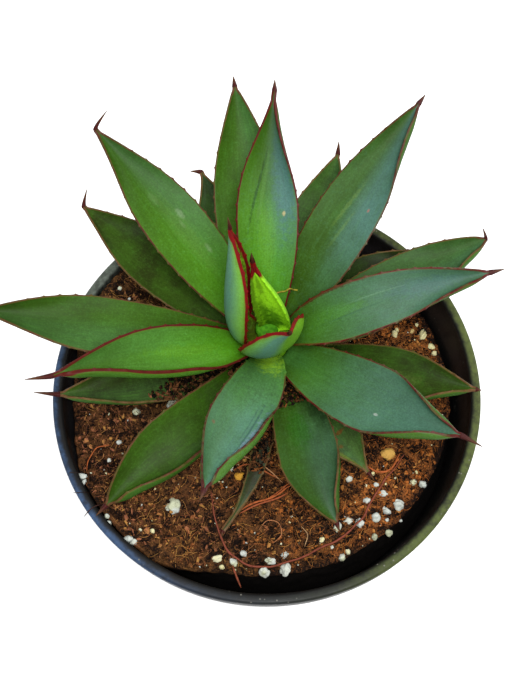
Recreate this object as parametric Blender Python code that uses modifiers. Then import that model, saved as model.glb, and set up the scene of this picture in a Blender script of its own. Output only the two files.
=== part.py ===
"""A potted agave: a rosette of broad, red-edged leaves on a short stem, in a filled nursery pot.

Metres, +Z up. The origin is the centre of the pot's underside, and -Y is the front.
Every leaf is a body of its own, seated on the stem with a hairline gap.
"""

import math
import random
from dataclasses import dataclass

import bmesh
import bpy
from mathutils import Euler, Matrix, Vector, noise

MM = 0.001
GAP = 0.3 * MM  # between pieces that touch on the real plant

# The pot
POT_HEIGHT = 118 * MM
RIM_RADIUS = 75 * MM
RIM_WIDTH = 3.6 * MM
RIM_SKIRT = 9 * MM  # how far the rolled rim hangs down outside
RIM_ROUNDING = 1.1 * MM
RIM_TAPER = 0.6 * MM  # how much narrower the rim's lower edge is
RIM_UNDERSIDE = 0.8 * MM  # how far the rim's lower face slopes down to the wall
WALL = 1.4 * MM
WALL_TOP_RADIUS = 72.4 * MM  # outside the wall, under the rim
FOOT_RADIUS = 54 * MM
FOOT_INSET = 1.5 * MM
FOOT_CURVE = 5 * MM  # height at which the wall turns in to the foot
FLOOR_THICKNESS = 2 * MM
POT_SIDES = 60
DRAIN_HOLES = 8
DRAIN_HOLE_RADIUS = 5 * MM
DRAIN_HOLE_SIDES = 12
DRAIN_RING_RADIUS = 40 * MM

# The soil
SOIL_LEVEL = 104.5 * MM  # on the pot's axis
SOIL_SLOPE = Vector((-0.055, 0.02))  # rise for each unit towards +X and +Y
SOIL_RINGS = 9  # of faces, from the middle to the top edge
SOIL_RELIEF = 1.1 * MM
SOIL_LUMP = 9 * MM
SOIL_EDGE_DROP = 2 * MM  # how far the top's outer ring lies under the surface
SOIL_SHOULDER = 14 * MM  # depth at which the filling meets the wall
SOIL_HEEL = Vector((6 * MM, 7 * MM))  # inset and height of the filling's lower corner
SOIL_FIT = 0.45 * MM  # between the soil and the pot
SHRINKAGE = 5.6 * MM  # the widest gap between the soil's top edge and the wall
SHRINKAGE_HEADING = -72  # where that gap is, in degrees anticlockwise from +X

# The stem
STEM_CENTRE = Vector((0, 17 * MM, 0))
STEM_TOP = 131.5 * MM
STEM_TOP_RADIUS = 1.8 * MM
STEM_FOOT = 84 * MM
STEM_FOOT_RADIUS = 12.6 * MM
STEM_SIDES = 28
CROWN_BOTTOM = 104 * MM
CROWN_STEPS = 7
CROWN_SHAPE = 0.8  # below 1 the crown is domed, and at 1 it is a cone
FOOT_TAPER = Vector((0.7, 4 * MM))  # the foot's end over its width, and how long it narrows

# The spiral of leaves
DIVERGENCE = 137.5  # degrees from one leaf to the next
FOURTH_LEAF_SEAT = 80  # degrees anticlockwise from +X
FIRST_SEAT_DEPTH = 1.5 * MM  # below the top of the stem
SEAT_DROP = 1.8 * MM
SEAT_CROWDING = 0.83

# Every leaf
ROOT_SHARE = 0.46  # width at the seat over the widest
ROOT_THICKNESS = 1.7 * MM
BELLY_THICKNESS = 2.7 * MM
TIP_THICKNESS = 1.3 * MM
MARGIN_THICKNESS = 0.7 * MM
KEEL = 1.6  # how much fuller the underside is than the upper face
SPINE_BASE_HALF_WIDTH = 0.75 * MM
SPINE_POINT_HALF_WIDTH = 0.2 * MM
ROOT_CUP = 50  # degrees from the midrib to the margin, round the blade's curve
TIP_CUP = 78
TOOTH_HEIGHT = 0.55 * MM
TOOTH_SPACING = 5 * MM
TOOTHED = (0.12, 0.9)  # the share of the blade's length that bears teeth
SPINE_STATIONS = 3
COLUMNS = 4
THICKEST = (0.25, 0.4)  # the shares of the blade's length between which it is thickest
CUPPED = (0.35, 0.6)  # and those between which it has its own cup
FACING = 0.3  # where the blade no longer faces the way its seat does
ROLLED = 0.4  # where it has its whole roll
MOST_CURL = 0.65  # keeps the inner face's curve from closing, as a share of the thickness


@dataclass
class Leaf:
    """One leaf. Lengths are in millimetres and angles in degrees."""

    order: int  # place in the spiral, from the heart outwards
    heading: float  # of the blade's tip from the stem, anticlockwise from +X
    reach: float  # of the blade's tip from the stem's axis
    height: float  # of the blade's tip above the pot's foot
    width: float  # at the widest, round the curve
    start: float  # rise above level where the leaf leaves the stem
    finish: float  # rise at the blade's tip
    belly: float = 0.47  # where the blade is widest, as a share of its length
    taper: float = 0.85  # below 1 the tip is blunt, and above 1 it is drawn out
    swing: float = 0  # turns the blade's start from its seat's heading
    bend: float = 0  # turns the blade's tip from its own heading
    back: float | None = None  # where an upright blade's back faces, or else its own heading
    cup: float = 24  # half angle of the curve across the blade's middle
    roll: float = 0  # lifts the anticlockwise margin
    spine: float = 4  # length of the terminal spine
    spine_rise: float = 15
    spine_turn: float = 0  # from the blade's heading

    @property
    def name(self):
        return f"leaf_{self.order:02d}"

    @property
    def seat_heading(self):
        return FOURTH_LEAF_SEAT + DIVERGENCE * (self.order - 4)

    @property
    def seat_height(self):
        return STEM_TOP - FIRST_SEAT_DEPTH - SEAT_DROP * (self.order - 1) ** SEAT_CROWDING


LEAVES = (
    Leaf(1, 113, 12.3, 160, 13, 85, 70, 0.36, 0.95, back=81, cup=63, spine=5, spine_rise=80),
    Leaf(2, 126, 20, 174, 21, 20, 70, 0.53, 1.25, swing=45, bend=-23, back=176, cup=87, spine=6, spine_rise=80),
    Leaf(3, 297, 15.3, 160, 28, 47, 75, 0.37, 0.74, swing=-25, bend=3, back=300, cup=53, spine_rise=75),
    Leaf(4, 88, 68.5, 172, 21.5, 58, 36, 0.48, 1.25, swing=14, bend=-7),
    Leaf(5, 202, 72.4, 158, 18, 46, 13, 0.48, 1.02, swing=-5, bend=7, cup=29, roll=22, spine=9, spine_turn=-7),
    Leaf(6, 8.7, 74.4, 152, 19, 59, 17, 0.4, 0.7, swing=6, bend=-4, cup=22, roll=-23, spine=5),
    Leaf(7, 135, 81, 166, 22, 52, 28, 0.5, 0.9, swing=10, spine=8, spine_rise=38, spine_turn=-88),
    Leaf(8, 253, 66, 156, 20.5, 52, 29, 0.54, 0.76, swing=5, bend=8, cup=28, roll=16),
    Leaf(9, 52.5, 83.4, 168, 22.5, 54, 30, 0.46, 0.78),
    Leaf(10, 181, 92.4, 150, 20, 42, 14, 0.6, 0.7, swing=8, bend=-5, roll=6),
    Leaf(11, 325, 75, 146, 25, 42, 19, 0.57, 0.95, swing=-10, bend=12, roll=-4, spine=8),
    Leaf(12, 98, 80.5, 158, 25, 52, 24, 0.46, 0.75),
    Leaf(13, 228, 80, 121, 21, 23, -11, 0.59, 0.75, swing=8, bend=3, cup=30, roll=18, spine=5, spine_rise=0),
    Leaf(14, 23, 83.7, 134, 23, 37, 8, 0.48, 0.62, swing=-9, bend=6, spine=5, spine_rise=50, spine_turn=95),
    Leaf(15, 145, 79.5, 134, 22, 41, 9, 0.5, 0.84, swing=-7, bend=-6, spine=7, spine_rise=41, spine_turn=-70),
    Leaf(16, 289.5, 69, 119, 21.5, 14, -10, 0.6, 0.8, swing=14, bend=15, spine=3, spine_rise=-10),
    Leaf(17, 69, 71.9, 134, 22.5, 40, 12, 0.43, 0.8, bend=5, spine=5, spine_rise=43, spine_turn=16),
    Leaf(18, 197.5, 74, 126, 19, 31, 8, 0.44, 0.73, swing=-4, bend=-12, roll=6, spine=9, spine_turn=-17),
    Leaf(19, 344, 74.2, 126, 22.5, 26, 7, 0.52, 0.94, swing=-11, bend=5, spine=2),
    Leaf(20, 111, 66.5, 130, 22, 36, 10, 0.43, 0.98, bend=3, spine=4.2, spine_turn=70),
    Leaf(21, 257, 67, 108, 7, 9, -1, 0.35, 1.2, swing=30, bend=-25, spine=2, spine_rise=0),
    Leaf(22, 31, 69, 121, 22.5, 26, 1, 0.43, 1.0, spine=3),
    Leaf(24, 307.5, 57.5, 111, 20.5, 14, -2, 0.43, 0.98, spine=3, spine_rise=0),
)


@dataclass
class Patch:
    """A scatter of perlite grains on the soil. Lengths are in millimetres and the heading in degrees."""

    heading: float  # from the pot's axis, anticlockwise from +X
    distance: float
    spread: float
    count: int
    size: float  # radius of the largest grain


PERLITE = (
    Patch(-49, 57, 11, 11, 2.2),
    Patch(-27, 61, 5, 4, 1.7),
    Patch(-24, 47, 0, 1, 2.7),
    Patch(-62, 52, 0, 1, 2.0),
    Patch(-86, 62, 10, 5, 2.3),
    Patch(-104, 63, 5, 2, 1.8),
    Patch(-130, 51, 0, 1, 2.9),
    Patch(-140, 70, 8, 3, 2.0),
    Patch(-158, 58, 6, 3, 1.9),
    Patch(-176, 51, 7, 4, 1.6),
    Patch(-110, 30, 4, 2, 2.0),
    Patch(24, 60, 7, 3, 2.1),
)
GRAIN_SEED = 4
SMALLEST_GRAIN = 0.6  # of a patch's largest
GRAIN_SUNK = 0.25  # share of its radius that a grain's centre lies under the surface

# Colour and roughness of each finish
PLASTIC = ((0.012, 0.013, 0.012, 1), 0.42)
SOIL = ((0.11, 0.042, 0.02, 1), 0.95)
STEM = ((0.30, 0.36, 0.16, 1), 0.6)
HEART_GREEN = Vector((0.16, 0.36, 0.05))
LEAF_GREEN = Vector((0.05, 0.17, 0.05))
OLD_GREEN = Vector((0.025, 0.085, 0.025))
LEAF_ROUGHNESS = 0.4
MATURE_ORDER = 8  # the leaves up to here still ripen, and those after it darken


def clear_scene():
    for obj in list(bpy.data.objects):
        bpy.data.objects.remove(obj, do_unlink=True)


def collection_named(name):
    found = bpy.data.collections.new(name)
    bpy.context.scene.collection.children.link(found)
    return found


def material_named(name, finish):
    colour, roughness = finish
    material = bpy.data.materials.new(name)
    material.use_nodes = True
    shader = material.node_tree.nodes["Principled BSDF"]
    shader.inputs["Base Color"].default_value = colour
    shader.inputs["Roughness"].default_value = roughness
    shader.inputs["Metallic"].default_value = 0
    material.diffuse_color = colour
    return material


def object_from(bm, name, material, collection):
    mesh = bpy.data.meshes.new(name)
    bm.to_mesh(mesh)
    bm.free()
    if material:
        mesh.materials.append(material)
    obj = bpy.data.objects.new(name, mesh)
    collection.objects.link(obj)
    return obj


def hide_cutter(obj):
    obj.hide_render = True
    obj.display_type = "WIRE"


def cut_by(obj, cutter):
    cut = obj.modifiers.new(f"cut_{cutter.name}", "BOOLEAN")
    cut.operation = "DIFFERENCE"
    cut.object = cutter


def drill(name, radius, sides, place, depth, collection):
    """An upright cylinder that cuts a round hole, centred at a place."""
    bm = bmesh.new()
    bmesh.ops.create_cone(
        bm,
        cap_ends=True,
        segments=sides,
        radius1=radius,
        radius2=radius,
        depth=depth,
        matrix=Matrix.Translation(place),
    )
    obj = object_from(bm, name, None, collection)
    hide_cutter(obj)
    return obj


def turned(name, profile, sides, material, collection):
    """A solid turned about the Z axis from (radius, height) points, top to bottom on its outer side."""
    bm = bmesh.new()
    points = [bm.verts.new((radius, 0, height)) for radius, height in profile]
    for first, second in zip(points, points[1:]):
        bm.edges.new((first, second))
    if profile[0][0] > 0:
        bm.edges.new((points[-1], points[0]))
    obj = object_from(bm, name, material, collection)
    screw = obj.modifiers.new("turn", "SCREW")
    screw.steps = sides
    screw.render_steps = sides
    screw.use_merge_vertices = True
    screw.merge_threshold = 0.01 * MM
    return obj


def wall_radius(height):
    """The outside radius of the pot's wall at a height above its foot."""
    share = height / (POT_HEIGHT - RIM_SKIRT)
    return FOOT_RADIUS + (WALL_TOP_RADIUS - FOOT_RADIUS) * share


def inner_radius(height):
    return wall_radius(height) - WALL


def pot_profile():
    """The wall, the rolled rim and the floor as one closed outline, down the outside first."""
    skirt_bottom = POT_HEIGHT - RIM_SKIRT
    return (
        (RIM_RADIUS - RIM_WIDTH + RIM_ROUNDING, POT_HEIGHT),
        (RIM_RADIUS - RIM_ROUNDING, POT_HEIGHT),
        (RIM_RADIUS, POT_HEIGHT - RIM_ROUNDING),
        (RIM_RADIUS - RIM_TAPER, skirt_bottom),
        (wall_radius(skirt_bottom), skirt_bottom - RIM_UNDERSIDE),
        (wall_radius(FOOT_CURVE), FOOT_CURVE),
        (FOOT_RADIUS - FOOT_INSET, 0),
        (0, 0),
        (0, FLOOR_THICKNESS),
        (FOOT_RADIUS - FOOT_INSET - WALL, FLOOR_THICKNESS),
        (inner_radius(FOOT_CURVE + WALL), FOOT_CURVE + WALL),
        (inner_radius(skirt_bottom), skirt_bottom),
        (RIM_RADIUS - RIM_WIDTH, POT_HEIGHT - RIM_ROUNDING),
    )


def make_pot(collection, cutters):
    material = material_named("pot_plastic", PLASTIC)
    pot = turned("pot", pot_profile(), POT_SIDES, material, collection)
    for number in range(DRAIN_HOLES):
        around = direction(360 * number / DRAIN_HOLES, 0)
        place = around * DRAIN_RING_RADIUS + Vector((0, 0, FLOOR_THICKNESS / 2))
        name = f"drain_drill_{number}"
        cut_by(pot, drill(name, DRAIN_HOLE_RADIUS, DRAIN_HOLE_SIDES, place, FLOOR_THICKNESS * 3, cutters))
    return pot


def direction(heading, rise):
    """A unit vector from a compass heading and a rise above level, in degrees."""
    across = math.cos(math.radians(rise))
    return Vector(
        (
            across * math.cos(math.radians(heading)),
            across * math.sin(math.radians(heading)),
            math.sin(math.radians(rise)),
        )
    )


def soil_height(x, y):
    """The soil's surface: a gentle slope with lumps."""
    lumps = noise.noise(Vector((x, y, 0)) / SOIL_LUMP) * SOIL_RELIEF
    fine = noise.noise(Vector((x, y, 3 * MM)) / (SOIL_LUMP / 3)) * SOIL_RELIEF * 0.5
    return SOIL_LEVEL + SOIL_SLOPE.x * x + SOIL_SLOPE.y * y + lumps + fine


def soil_edge_radius(heading):
    """How far the soil's top reaches from the pot's axis: it has shrunk from the wall at the front."""
    away = math.radians((heading - SHRINKAGE_HEADING + 180) % 360 - 180)
    shrunk = SHRINKAGE * max(0, math.cos(0.85 * away)) ** 2
    level = SOIL_LEVEL + SOIL_SLOPE.dot(direction(heading, 0).xy) * RIM_RADIUS
    lowest = level - SOIL_EDGE_DROP - SOIL_RELIEF
    return inner_radius(lowest) - SOIL_FIT - shrunk


def soil_levels():
    """Heights of the rings down the soil's side, under the top edge."""
    return (SOIL_LEVEL - SOIL_SHOULDER, SOIL_LEVEL / 2, SOIL_HEEL.y, FLOOR_THICKNESS + GAP)


def make_soil_plug(name, material, collection):
    """The filling without its grains: a sphere's rings moved to a lumpy top and the pot's wall."""
    levels = soil_levels()
    rings = SOIL_RINGS + len(levels) + 1
    bm = bmesh.new()
    bmesh.ops.create_uvsphere(bm, u_segments=POT_SIDES, v_segments=rings, radius=1)
    for vertex in bm.verts:
        ring = round(math.acos(max(-1, min(1, vertex.co.z))) / math.pi * rings)
        heading = math.degrees(math.atan2(vertex.co.y, vertex.co.x))
        around = direction(heading, 0)
        if ring <= SOIL_RINGS:
            spot = around * soil_edge_radius(heading) * (ring / SOIL_RINGS)
            height = soil_height(spot.x, spot.y)
            if ring == SOIL_RINGS:
                height -= SOIL_EDGE_DROP
        elif ring == rings:
            spot = Vector()
            height = levels[-1]
        else:
            height = levels[ring - SOIL_RINGS - 1]
            radius = inner_radius(height) - SOIL_FIT
            if height == levels[-1]:
                radius = FOOT_RADIUS - SOIL_HEEL.x
            spot = around * radius
        vertex.co = Vector((spot.x, spot.y, height))
    return object_from(bm, name, material, collection)


def perlite_grains():
    """The centre and the radius of every grain, the same each run."""
    chance = random.Random(GRAIN_SEED)
    grains = []
    for patch in PERLITE:
        middle = direction(patch.heading, 0) * patch.distance * MM
        for number in range(patch.count):
            radius = patch.size * MM * (1 if number == 0 else chance.uniform(SMALLEST_GRAIN, 1))
            away = patch.spread * MM * math.sqrt(chance.random())
            spot = middle + direction(chance.uniform(0, 360), 0) * away
            heading = math.degrees(math.atan2(spot.y, spot.x))
            limit = soil_edge_radius(heading) - radius - GAP
            spot = spot.normalized() * min(spot.length, limit)
            height = soil_height(spot.x, spot.y) - GRAIN_SUNK * radius
            if all((spot - other.xy.to_3d()).length > radius + size for other, size in grains):
                grains.append((Vector((spot.x, spot.y, height)), radius))
    return grains


def make_grain(name, centre, radius, chance, collection):
    """A chunky grain of perlite, turned and squashed at random."""
    turn = Euler([chance.uniform(0, math.tau) for _ in range(3)]).to_matrix().to_4x4()
    squash = Matrix.Diagonal((1, chance.uniform(0.75, 1), chance.uniform(0.7, 0.9), 1))
    bm = bmesh.new()
    place = Matrix.Translation(centre) @ turn @ squash
    bmesh.ops.create_icosphere(bm, subdivisions=1, radius=radius, matrix=place)
    return object_from(bm, name, None, collection)


def apply_modifiers(obj):
    graph = bpy.context.evaluated_depsgraph_get()
    mesh = bpy.data.meshes.new_from_object(obj.evaluated_get(graph))
    obj.modifiers.clear()
    obj.data = mesh


def make_soil(collection, cutters):
    """The filling, its perlite grains fused to its top, with a plain hole for the stem's foot."""
    soil = make_soil_plug("soil", material_named("soil", SOIL), collection)
    scatter = collection_named("perlite")
    chance = random.Random(GRAIN_SEED)
    for number, (centre, radius) in enumerate(perlite_grains()):
        make_grain(f"grain_{number}", centre, radius, chance, scatter)
    join = soil.modifiers.new("grains", "BOOLEAN")
    join.operation = "UNION"
    join.operand_type = "COLLECTION"
    join.collection = scatter
    apply_modifiers(soil)
    for grain in list(scatter.objects):
        bpy.data.objects.remove(grain, do_unlink=True)
    bpy.data.collections.remove(scatter)
    hole_top = STEM_TOP
    hole_bottom = STEM_FOOT - GAP
    middle = STEM_CENTRE + Vector((0, 0, (hole_top + hole_bottom) / 2))
    depth = hole_top - hole_bottom
    cut_by(soil, drill("stem_drill", STEM_FOOT_RADIUS + GAP, STEM_SIDES, middle, depth, cutters))
    return soil


def stem_radius(height):
    share = max(0.0, min(1.0, (STEM_TOP - height) / (STEM_TOP - CROWN_BOTTOM)))
    return STEM_TOP_RADIUS + (STEM_FOOT_RADIUS - STEM_TOP_RADIUS) * share**CROWN_SHAPE


def make_stem(collection):
    """A stout cone that carries the leaves, with a straight foot in the soil."""
    profile = [(0, STEM_TOP)]
    for step in range(CROWN_STEPS + 1):
        height = STEM_TOP + (CROWN_BOTTOM - STEM_TOP) * step / CROWN_STEPS
        profile.append((stem_radius(height), height))
    profile.append((STEM_FOOT_RADIUS, STEM_FOOT + FOOT_TAPER.y))
    profile.append((STEM_FOOT_RADIUS * FOOT_TAPER.x, STEM_FOOT))
    profile.append((0, STEM_FOOT))
    stem = turned("stem", profile, STEM_SIDES, material_named("stem", STEM), collection)
    stem.location = STEM_CENTRE
    return stem


def bezier(points, share):
    a, b, c, d = points
    rest = 1 - share
    return a * rest**3 + b * (3 * rest * rest * share) + c * (3 * rest * share * share) + d * share**3


def bezier_slope(points, share):
    a, b, c, d = points
    rest = 1 - share
    slope = (b - a) * (rest * rest) + (c - b) * (2 * rest * share) + (d - c) * (share * share)
    return slope.normalized()


def nearest_turn(angle, reference):
    """The same angle, within half a turn of the reference."""
    return reference + (angle - reference + 180) % 360 - 180


def blade_curve(leaf):
    """The midrib from the seat to the blade's tip, as four control points."""
    height = leaf.seat_height
    radius = stem_radius(height) + 2 * GAP
    root = STEM_CENTRE + direction(leaf.seat_heading, 0) * radius + Vector((0, 0, height))
    level_tip = direction(leaf.heading, 0) * leaf.reach * MM
    tip = STEM_CENTRE + level_tip + Vector((0, 0, leaf.height * MM))
    handle = (tip - root).length / 3
    return (
        root,
        root + direction(leaf.seat_heading + leaf.swing, leaf.start) * handle,
        tip - direction(leaf.heading + leaf.bend, leaf.finish) * handle,
        tip,
    )


def spine_curve(leaf, tip):
    """The spine goes on from the blade and turns its own way, as four control points."""
    length = leaf.spine * MM
    point = tip + direction(leaf.heading + leaf.spine_turn, leaf.spine_rise) * length
    before = tip + direction(leaf.heading + leaf.bend, leaf.finish) * (length / 4)
    return (tip, before, before.lerp(point, 0.5), point)


def outline(share, leaf):
    """The blade's half width along its length, over the widest."""
    if share < leaf.belly:
        return ROOT_SHARE + (1 - ROOT_SHARE) * math.sin(math.pi / 2 * share / leaf.belly)
    return max(0, math.cos(math.pi / 2 * (share - leaf.belly) / (1 - leaf.belly))) ** leaf.taper


def blend(low, high, share):
    share = max(0.0, min(1.0, share))
    return low + (high - low) * share * share * (3 - 2 * share)


@dataclass
class Section:
    """One slice across a leaf, square to its midrib."""

    centre: Vector
    along: Vector
    side: Vector
    half_width: float
    half_thickness: float
    half_margin: float
    keel: float
    cup: float

    def point(self, across, face):
        """A point of the slice: across runs from -1 to 1, and face is 1 above and -1 below."""
        above = self.along.cross(self.side)
        turn = across * self.cup
        radius = self.half_width / self.cup
        inward = above * math.cos(turn) - self.side * math.sin(turn)
        thick = self.half_margin + (self.half_thickness - self.half_margin) * (1 - across * across)
        if face < 0:
            thick += (self.half_thickness - self.half_margin) * (self.keel - 1) * (1 - across**4)
        spot = self.side * (radius * math.sin(turn)) + above * (radius * (1 - math.cos(turn)))
        return self.centre + spot + inward * (face * thick)


def section_of(leaf, share):
    """The slice at a share of the leaf: 0 at the seat, 1 at the blade's tip and 2 at the spine's point."""
    blade = blade_curve(leaf)
    if share <= 1:
        centre, along = bezier(blade, share), bezier_slope(blade, share)
        half = max(leaf.width / 2 * MM * outline(share, leaf), SPINE_BASE_HALF_WIDTH)
        thickness = blend(ROOT_THICKNESS, BELLY_THICKNESS, share / THICKEST[0])
        if share > THICKEST[1]:
            thickness = blend(BELLY_THICKNESS, TIP_THICKNESS, (share - THICKEST[1]) / (1 - THICKEST[1]))
        margin = MARGIN_THICKNESS
        keel = blend(1, KEEL, share / THICKEST[0])
        cup = blend(ROOT_CUP, leaf.cup, share / CUPPED[0])
        if share > CUPPED[1]:
            cup = blend(leaf.cup, max(TIP_CUP, leaf.cup), (share - CUPPED[1]) / (1 - CUPPED[1]))
        heading = math.degrees(math.atan2(along.y, along.x)) if leaf.back is None else leaf.back
        heading = blend(leaf.seat_heading, nearest_turn(heading, leaf.seat_heading), share / FACING)
    else:
        spine = spine_curve(leaf, blade[3])
        centre, along = bezier(spine, share - 1), bezier_slope(spine, share - 1)
        half = SPINE_BASE_HALF_WIDTH + (SPINE_POINT_HALF_WIDTH - SPINE_BASE_HALF_WIDTH) * (share - 1)
        thickness = min(TIP_THICKNESS, 2 * half)
        margin = thickness / 2
        keel = 1
        cup = TIP_CUP
        heading = leaf.heading + leaf.bend if leaf.back is None else leaf.back
    cup = min(math.radians(cup), half / (thickness * MOST_CURL))
    level = direction(heading + 90, 0)
    side = (level - along * level.dot(along)).normalized()
    roll = blend(0, leaf.roll, share / ROLLED)
    side = Matrix.Rotation(math.radians(-roll), 3, along) @ side
    return Section(centre, along, side, half, thickness / 2, margin / 2, keel, cup)


def seated(point):
    """The point moved level onto the stem's skin, a gap outside it."""
    out = Vector((point.x, point.y, 0)) - STEM_CENTRE
    out = out.normalized() * (stem_radius(point.z) + GAP)
    return STEM_CENTRE + out + Vector((0, 0, point.z))


def leaf_stations(leaf):
    """Where the leaf is sliced: once for each tooth along the blade, then along the spine."""
    root, _, _, tip = blade_curve(leaf)
    steps = max(10, round((tip - root).length / TOOTH_SPACING))
    blade = [step / steps for step in range(steps + 1)]
    return blade + [1 + (step + 1) / SPINE_STATIONS for step in range(SPINE_STATIONS)]


def leaf_colour(order):
    """Bright yellow-green in the heart, then green, then dark on the oldest leaves."""
    if order <= MATURE_ORDER:
        mixed = HEART_GREEN.lerp(LEAF_GREEN, (order - 1) / (MATURE_ORDER - 1))
    else:
        mixed = LEAF_GREEN.lerp(OLD_GREEN, (order - MATURE_ORDER) / (LEAVES[-1].order - MATURE_ORDER))
    return (*mixed, 1)


def make_leaf(leaf, collection):
    """A slab bent into the blade and its spine, with a tooth on each stretch of its margins."""
    stations = leaf_stations(leaf)
    sections = [section_of(leaf, station) for station in stations]
    bm = bmesh.new()
    bmesh.ops.create_grid(bm, x_segments=COLUMNS, y_segments=len(stations) - 1, size=1)
    lifted = bmesh.ops.extrude_face_region(bm, geom=bm.faces[:], use_keep_orig=True)
    upper = {item for item in lifted["geom"] if isinstance(item, bmesh.types.BMVert)}
    toothed = []
    for face in bm.faces:
        middle = face.calc_center_median()
        station = stations[int((middle.y + 1) / 2 * (len(stations) - 1))]
        if abs(middle.x) > 0.999 and TOOTHED[0] < station < TOOTHED[1]:
            toothed.append(face)
    for vertex in bm.verts:
        number = round((vertex.co.y + 1) / 2 * (len(stations) - 1))
        spot = sections[number].point(vertex.co.x, 1 if vertex in upper else -1)
        vertex.co = seated(spot) if number == 0 else spot
    bmesh.ops.recalc_face_normals(bm, faces=bm.faces[:])
    if bm.calc_volume(signed=True) < 0:
        bmesh.ops.reverse_faces(bm, faces=bm.faces[:])
    bmesh.ops.poke(bm, faces=toothed, offset=TOOTH_HEIGHT)
    material = material_named(leaf.name, (leaf_colour(leaf.order), LEAF_ROUGHNESS))
    obj = object_from(bm, leaf.name, material, collection)
    obj.data.shade_smooth()
    obj.data.set_sharp_from_angle(angle=math.radians(40))
    return obj


def main():
    clear_scene()
    plant = collection_named("potted_agave")
    cutters = collection_named("cutters")
    make_pot(plant, cutters)
    make_soil(plant, cutters)
    make_stem(plant)
    for leaf in LEAVES:
        make_leaf(leaf, plant)


main()
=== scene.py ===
"""The looks of a potted agave: fine pieces over its solid model, their finishes, a stage and a camera.

Metres, +Z up, in the solid model's frame: the origin is the centre of the pot's underside, -Y is the front.
"""

import math
import random
from dataclasses import dataclass

import bmesh
import bpy
import numpy as np
from bpy.props import FloatProperty, FloatVectorProperty, IntProperty, PointerProperty
from mathutils import Euler, Matrix, Vector, noise


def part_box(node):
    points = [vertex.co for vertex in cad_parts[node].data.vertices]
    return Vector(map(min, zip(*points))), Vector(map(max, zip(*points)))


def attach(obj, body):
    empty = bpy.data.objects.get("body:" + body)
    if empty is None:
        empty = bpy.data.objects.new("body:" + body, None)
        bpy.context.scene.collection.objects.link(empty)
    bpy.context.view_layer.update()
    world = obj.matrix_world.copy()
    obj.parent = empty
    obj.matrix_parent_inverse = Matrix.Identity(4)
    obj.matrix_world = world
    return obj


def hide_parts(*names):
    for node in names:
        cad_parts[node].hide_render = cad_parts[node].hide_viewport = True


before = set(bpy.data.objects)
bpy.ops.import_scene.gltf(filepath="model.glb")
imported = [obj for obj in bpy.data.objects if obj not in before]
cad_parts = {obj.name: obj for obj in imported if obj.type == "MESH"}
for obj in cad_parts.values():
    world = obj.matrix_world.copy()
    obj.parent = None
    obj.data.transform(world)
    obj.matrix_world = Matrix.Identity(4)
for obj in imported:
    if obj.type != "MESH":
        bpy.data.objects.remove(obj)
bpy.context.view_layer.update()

bl_info = {
    "name": "Potted agave",
    "version": (1, 0, 0),
    "blender": (4, 5, 0),
    "location": "3D View > Sidebar > Agave",
    "description": "Dresses the solid model of a potted agave with fine pieces and natural finishes",
    "category": "Add Mesh",
}

MM = 0.001
GAP = 0.3 * MM  # between pieces that touch on the real plant
BODY = "root"

# The pot
POT_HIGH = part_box("pot")[1]
POT_HEIGHT = POT_HIGH.z
RIM_RADIUS = POT_HIGH.x
RIM_WIDTH = 3.6 * MM
RIM_SKIRT = 9 * MM
RIM_ROUNDING = 1.1 * MM
RIM_TAPER = 0.6 * MM
RIM_UNDERSIDE = 0.8 * MM
SKIRT_ROUNDING = 0.4 * MM
FILLET = 0.2 * MM  # where the wall meets the rim
WALL = 1.4 * MM
WALL_TOP_RADIUS = 72.4 * MM
FOOT_RADIUS = 54 * MM
FOOT_INSET = 1.5 * MM
FOOT_CURVE = 5 * MM
FOOT_ROUNDING = 0.3 * MM
FLOOR_THICKNESS = 2 * MM
POT_SIDES = 240
WALL_STEPS = 10
DRAIN_HOLES = 8
DRAIN_HOLE_RADIUS = 5 * MM
DRAIN_HOLE_SIDES = 40
DRAIN_RING_RADIUS = 40 * MM
DRILL_REACH = 5 * MM  # above and below the pot's foot

# The soil
SOIL_LEVEL = 104.5 * MM
SOIL_SLOPE = Vector((-0.055, 0.02))
SOIL_RELIEF = 1.1 * MM
SOIL_LUMP = 9 * MM
SOIL_EDGE_DROP = 2 * MM
SOIL_EDGE_SHARE = 8 / 9  # of the way out, where the top starts to drop to its edge
SOIL_SHOULDER = 14 * MM
SOIL_HEEL = Vector((6 * MM, 7 * MM))
SOIL_FIT = 0.45 * MM
SHRINKAGE = 5.6 * MM
SHRINKAGE_HEADING = -72
SOIL_TOP_RINGS = 100
SOIL_SIDE_RINGS = 12
SOIL_SEGMENTS = 420
CLODS = ((1.0 * MM, 3.0 * MM), (0.5 * MM, 1.1 * MM))  # height and breadth of the fine lumps
RAGGED = 1.5 * MM  # how far the filling's edge is broken away
EDGE_SHADE = 3.5 * MM  # how far in from the edge the coir has painted shade
# how light the coir stays at the very edge, under painted shade
EDGE_DARKEST = 0.45
SIDE_WEAR = 0.6 * MM  # how far the filling's rough side lies back
FILLING_TONE = 0.21  # from 0 in the hollows, which carry painted shade, to 1 for straw
LUMP_TONE = 0.4  # painted light and shade: how much lighter the coir is for each millimetre of lump

BANKS = ((146, 34), (-140, 36))  # heading and half width of each heap against the wall, in degrees
BANK_HEIGHT = 8.5 * MM
BANK_FOOT = 50 * MM
BANK_EDGE = 70.5 * MM
BANK_RINGS = 26
BANK_STEP = 0.8  # degrees
BANK_TONE = 0.2
BANK_SUNK = 0.3 * MM
BANK_ROOT = 3 * MM  # how deep a heap reaches into the filling

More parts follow.
